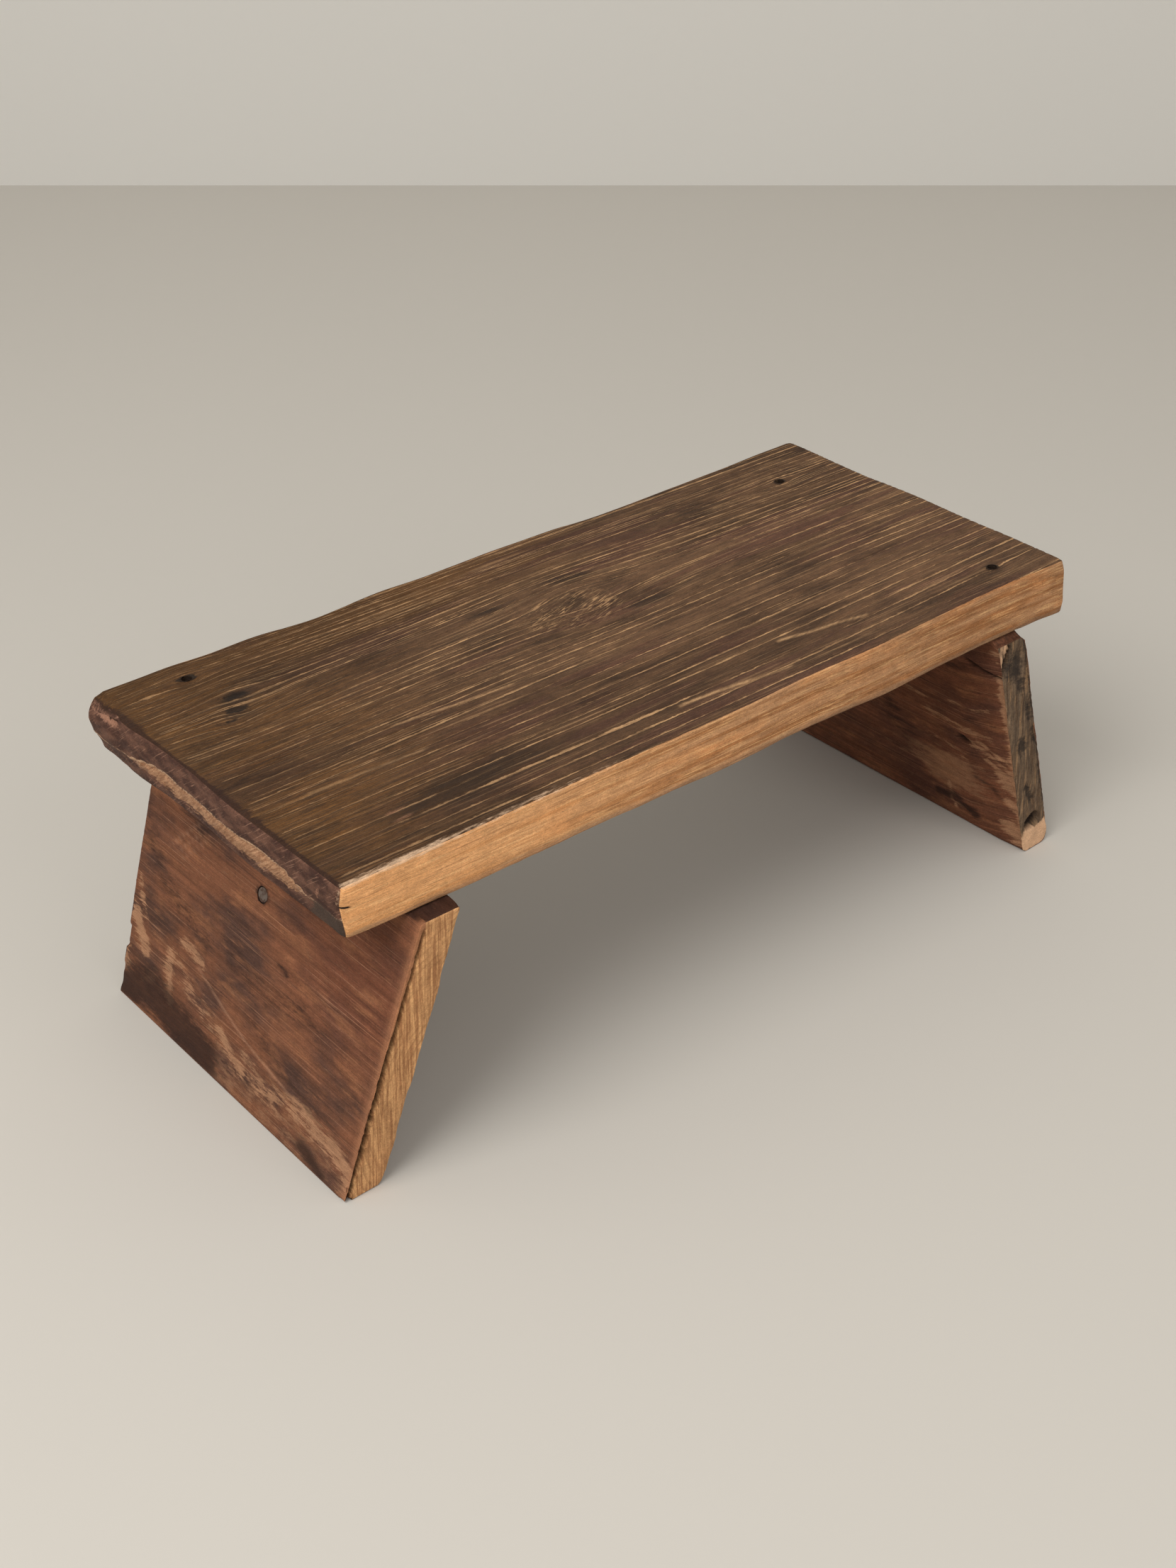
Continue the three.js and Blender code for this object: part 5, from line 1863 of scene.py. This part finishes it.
def build_rail():
    rail = add_block("teak_stretcher_rail", RAIL_ROWS)
    mesh = rail.data
    size = (SEAT_LENGTH, RAIL_THICKNESS, RAIL_HEIGHT)
    place = vertex_places(mesh) * size
    wear = RAIL_ARRIS * (1 + RAIL_WEAR_SHARE * noise(place, *RAIL_WEAR))
    place = soften(place, size, [1, 2], np.full(len(place), RAIL_CORNER), wear)
    height = place[:, 2] + LEG_TOP - RAIL_HEIGHT
    left = leg_inner(LEFT_LEG, height) + JOINT_GAP / math.cos(leg_splay(LEFT_LEG))
    right = SEAT_LENGTH - leg_inner(RIGHT_LEG, height) - JOINT_GAP / math.cos(leg_splay(RIGHT_LEG))
    along = blend(left, right, place[:, 0] / SEAT_LENGTH)
    across = RAIL_MIDDLE - RAIL_THICKNESS / 2 + place[:, 1]
    place_vertices(mesh, np.column_stack((along, across, height)))
    place = vertex_places(mesh)
    normal = vertex_normals(mesh)
    sides = ease(np.abs(normal[:, 0]), *RAIL_SIDE_FACING)
    carve = sides * RAIL_SAW_DEPTH * (swell(place, RAIL_SAW_MARKS) + swell(place, RAIL_FIBRES))
    place_vertices(mesh, place - normal * carve[:, None] + BENCH_CORNER)
    paint(mesh, "grain", place)
    return rail


def rail_wood(settings):
    """Plain sawn brown with saw marks across it."""
    finish = Finish("teak_rail_wood")
    grain = finish.place("grain")
    wood = finish.patterns(grain, RAIL_PATTERNS)
    colour = finish.mix(finish.span(wood, RAIL_SKIN), settings.dark, settings.skin)
    colour = finish.coat(colour, RAIL_LAYERS, wood)
    colour, dust = finish.grit(colour, grain, RAIL_GRIT_SHARE)
    saw = finish.math("MULTIPLY", wood["saw"], RAIL_SAW_SHARE)
    dust = finish.math("MULTIPLY", dust, RAIL_DUST_SHARE)
    normal = finish.bump(finish.math("ADD", wood["fibres"], saw, dust), RAIL_BUMP)
    return finish.done(colour, finish.span(wood, RAIL_ROUGHNESS), normal)


def nail_ends():
    """Name, head, outward direction and head's radius of each nail."""
    nails = []
    for name, leg, (along, across) in SEAT_NAILS:
        head_height = SEAT_HEIGHT - SEAT_NAIL_SINK
        tip_height = head_height - NAIL_LENGTH
        middle = (leg_outer(leg, tip_height) + leg_inner(leg, tip_height)) / 2
        head = np.array((along, across, head_height))
        tip = np.array((along_seat(leg, middle), across, tip_height))
        nails.append((name, head, head - tip, SEAT_NAIL_HEAD_RADIUS))
    for name, leg in LEG_NAILS:
        height = UNDERSIDE - LEG_NAIL_DROP
        outward = np.array(leg_outward(leg))
        head = np.array((along_seat(leg, leg_outer(leg, height)), RAIL_MIDDLE, height))
        nails.append((name, head - outward * LEG_NAIL_SINK, outward, LEG_NAIL_HEAD_RADIUS))
    return nails


def select_faces(mesh, chosen):
    """Selects some faces and nothing else. chosen takes a face's middle and normal."""
    mesh.vertices.foreach_set("select", np.zeros(len(mesh.vertices), dtype=bool))
    mesh.edges.foreach_set("select", np.zeros(len(mesh.edges), dtype=bool))
    for face in mesh.polygons:
        face.select = chosen(face.center, face.normal)


def on_head(middle, normal):
    return normal.z > FACING_SHARE and math.hypot(middle.x, middle.y) < TOUCH


def build_nail(name, head, direction, radius):
    """A flat head with a hammered top, then a round shank and a point."""
    deselect_all()
    middle = (0, 0, -NAIL_HEAD_THICKNESS / 2)
    bpy.ops.mesh.primitive_cylinder_add(
        vertices=NAIL_SIDES, radius=radius, depth=NAIL_HEAD_THICKNESS, location=middle,
    )
    nail = bpy.context.object
    nail.name = name + "_steel"
    nail.data.name = nail.name
    bpy.ops.object.transform_apply(location=True, rotation=False, scale=False)
    bpy.context.tool_settings.mesh_select_mode = (False, False, True)
    select_faces(nail.data, lambda middle, normal: normal.z < -FACING_SHARE)
    bpy.ops.object.mode_set(mode="EDIT")
    bpy.ops.mesh.inset(thickness=radius - NAIL_SHANK_RADIUS)
    for length in (NAIL_LENGTH - NAIL_HEAD_THICKNESS - NAIL_POINT, NAIL_POINT):
        bpy.ops.mesh.extrude_region_move(TRANSFORM_OT_translate={"value": (0, 0, -length)})
    bpy.ops.transform.resize(value=(NAIL_TIP_SHARE, NAIL_TIP_SHARE, 1))
    bpy.ops.object.mode_set(mode="OBJECT")
    for share in NAIL_HEAD_RING_SHARES:
        select_faces(nail.data, on_head)
        bpy.ops.object.mode_set(mode="EDIT")
        bpy.ops.mesh.inset(thickness=radius * share)
        bpy.ops.object.mode_set(mode="OBJECT")
    place = vertex_places(nail.data)
    from_axis = np.hypot(place[:, 0], place[:, 1])
    on_top = place[:, 2] > -TOUCH
    rim = on_top & (from_axis > radius * NAIL_RIM_START_SHARE)
    place[rim, :2] *= NAIL_RIM_SHARE
    hammered = 1 + noise(place, (radius, radius, radius), NAIL_SEED)
    place[on_top, 2] -= NAIL_HAMMERING * hammered[on_top]
    place_vertices(nail.data, place @ np.array(turn_from_up(direction)).T + head + BENCH_CORNER)
    return nail


def nail_metal(settings):
    """Dull steel with brown rust in patches."""
    finish = Finish("dull_nail_steel")
    metal = finish.patterns(finish.object_place(), NAIL_PATTERNS)
    colour = finish.mix(finish.span(metal, RUST_SHOWS), settings.steel, settings.rust)
    normal = finish.bump(metal["fine"], NAIL_BUMP)
    material = finish.done(colour, finish.span(metal, NAIL_ROUGHNESS), normal, NAIL_SPECULAR)
    finish.shader.inputs["Metallic"].default_value = NAIL_METALLIC
    return material


def plain_surface(name, colour):
    finish = Finish(name)
    finish.shader.inputs["Base Color"].default_value = colour
    finish.shader.inputs["Roughness"].default_value = STAGE_ROUGHNESS
    finish.shader.inputs["Specular IOR Level"].default_value = STAGE_SPECULAR
    return finish.material


def add_area_light(name, place, size, power):
    """A round light that faces the bench's middle."""
    light = bpy.data.lights.new(name, "AREA")
    light.shape = "DISK"
    light.size = size
    light.energy = power
    lamp = bpy.data.objects.new(name, light)
    lamp.location = place
    lamp.rotation_euler = (Vector(BENCH_MIDDLE) - Vector(place)).to_track_quat("-Z", "Y").to_euler()
    bpy.context.scene.collection.objects.link(lamp)


def add_stage_plane(name, material, rotation):
    deselect_all()
    bpy.ops.mesh.primitive_plane_add(size=STAGE_SIZE, location=(0, 0, 0), rotation=rotation)
    plane = bpy.context.object
    plane.name = name
    plane.data.materials.append(material)
    return plane


def build_stage(settings):
    floor = add_stage_plane("studio_floor", plain_surface("pale_floor", settings.floor), (0, 0, 0))
    upright = (math.pi / 2, 0, CAMERA_AZIMUTH)
    wall = add_stage_plane("studio_wall", plain_surface("pale_wall", settings.wall), upright)
    wall.location = (-math.sin(CAMERA_AZIMUTH) * WALL_DISTANCE, math.cos(CAMERA_AZIMUTH) * WALL_DISTANCE, 0)

    world = bpy.data.worlds.new("even_light")
    world.use_nodes = True
    background = world.node_tree.nodes["Background"]
    background.inputs["Color"].default_value = (1, 1, 1, 1)
    background.inputs["Strength"].default_value = settings.sky
    bpy.context.scene.world = world
    add_area_light("broad_key", KEY_PLACE, KEY_SIZE, settings.key)
    add_area_light("front_fill", FILL_PLACE, FILL_SIZE, settings.key * FILL_SHARE)

    camera = bpy.data.cameras.new("photo_camera")
    camera.lens = settings.lens
    camera.sensor_width = SENSOR_WIDTH
    camera.sensor_fit = "AUTO"
    viewer = bpy.data.objects.new("photo_camera", camera)
    viewer.location = CAMERA_PLACE
    viewer.rotation_euler = (CAMERA_TILT, 0, CAMERA_AZIMUTH)
    bpy.context.scene.collection.objects.link(viewer)
    bpy.context.scene.camera = viewer
    bpy.context.scene.view_settings.view_transform = "Standard"


class BENCH_OT_add_seat_plank(Operator):
    """Models the brushed seat plank"""

    bl_idname = "bench.add_seat_plank"
    bl_label = "Seat plank"

    def execute(self, context):
        settings = context.scene.bench_seat
        seat = build_seat(settings)
        finish_piece(seat, seat_wood(settings), "seat_plank")
        return {"FINISHED"}


class BENCH_OT_add_left_leg(Operator):
    """Models the left slab leg with its split front end"""

    bl_idname = "bench.add_left_leg"
    bl_label = "Left leg"

    def execute(self, context):
        settings = context.scene.bench_legs
        nail = nail_ends()[LEFT_LEG_NAIL]
        leg = build_leg(LEFT_LEG, "teak_left_leg_slab", settings, left_leg_relief, nail)
        wood = leg_wood(settings, "teak_left_leg_wood", left_end_grain, lip=True)
        finish_piece(leg, wood, "left_leg")
        return {"FINISHED"}


class BENCH_OT_add_right_leg(Operator):
    """Models the right slab leg with its weathered front end"""

    bl_idname = "bench.add_right_leg"
    bl_label = "Right leg"

    def execute(self, context):
        settings = context.scene.bench_legs
        nail = nail_ends()[RIGHT_LEG_NAIL]
        leg = build_leg(RIGHT_LEG, "teak_right_leg_slab", settings, right_leg_relief, nail)
        wood = leg_wood(settings, "teak_right_leg_wood", right_end_grain, lip=False)
        finish_piece(leg, wood, "right_leg")
        return {"FINISHED"}


class BENCH_OT_add_stretcher_rail(Operator):
    """Models the rail on edge under the seat"""

    bl_idname = "bench.add_stretcher_rail"
    bl_label = "Stretcher rail"

    def execute(self, context):
        rail = build_rail()
        finish_piece(rail, rail_wood(context.scene.bench_rail), "stretcher_rail")
        return {"FINISHED"}


class BENCH_OT_add_nails(Operator):
    """Models the six nails"""

    bl_idname = "bench.add_nails"
    bl_label = "Nails"

    def execute(self, context):
        metal = nail_metal(context.scene.bench_nails)
        for name, head, direction, radius in nail_ends():
            nail = build_nail(name, head, direction, radius)
            finish_piece(nail, metal, name, STEEL_SMOOTH_ANGLE)
        return {"FINISHED"}


class BENCH_OT_set_stage(Operator):
    """Adds the floor, the backdrop, the lights and the camera"""

    bl_idname = "bench.set_stage"
    bl_label = "Stage"

    def execute(self, context):
        build_stage(context.scene.bench_stage)
        return {"FINISHED"}


class BENCH_PT_pieces(Panel):
    """Lists the bench's pieces and their settings"""

    bl_label = "Low teak bench"
    bl_idname = "BENCH_PT_pieces"
    bl_space_type = "VIEW_3D"
    bl_region_type = "UI"
    bl_category = "Bench"

    def draw(self, context):
        for operator, group in PIECE_OPERATORS:
            box = self.layout.box()
            box.operator(operator.bl_idname)
            settings = getattr(context.scene, group)
            for name in settings.__annotations__:
                box.prop(settings, name)


SETTINGS = {
    "bench_seat": SeatSettings,
    "bench_legs": LegSettings,
    "bench_rail": RailSettings,
    "bench_nails": NailSettings,
    "bench_stage": StageSettings,
}
PIECE_OPERATORS = (
    (BENCH_OT_add_seat_plank, "bench_seat"),
    (BENCH_OT_add_left_leg, "bench_legs"),
    (BENCH_OT_add_right_leg, "bench_legs"),
    (BENCH_OT_add_stretcher_rail, "bench_rail"),
    (BENCH_OT_add_nails, "bench_nails"),
    (BENCH_OT_set_stage, "bench_stage"),
)


def register():
    for settings in SETTINGS.values():
        bpy.utils.register_class(settings)
    for operator, _ in PIECE_OPERATORS:
        bpy.utils.register_class(operator)
    bpy.utils.register_class(BENCH_PT_pieces)
    for name, settings in SETTINGS.items():
        setattr(bpy.types.Scene, name, PointerProperty(type=settings))


def unregister():
    for name in SETTINGS:
        delattr(bpy.types.Scene, name)
    bpy.utils.unregister_class(BENCH_PT_pieces)
    for operator, _ in PIECE_OPERATORS:
        bpy.utils.unregister_class(operator)
    for settings in SETTINGS.values():
        bpy.utils.unregister_class(settings)


def main():
    register()
    bpy.ops.bench.add_seat_plank()
    bpy.ops.bench.add_left_leg()
    bpy.ops.bench.add_right_leg()
    bpy.ops.bench.add_stretcher_rail()
    bpy.ops.bench.add_nails()
    bpy.ops.bench.set_stage()


if __name__ == "__main__":
    main()
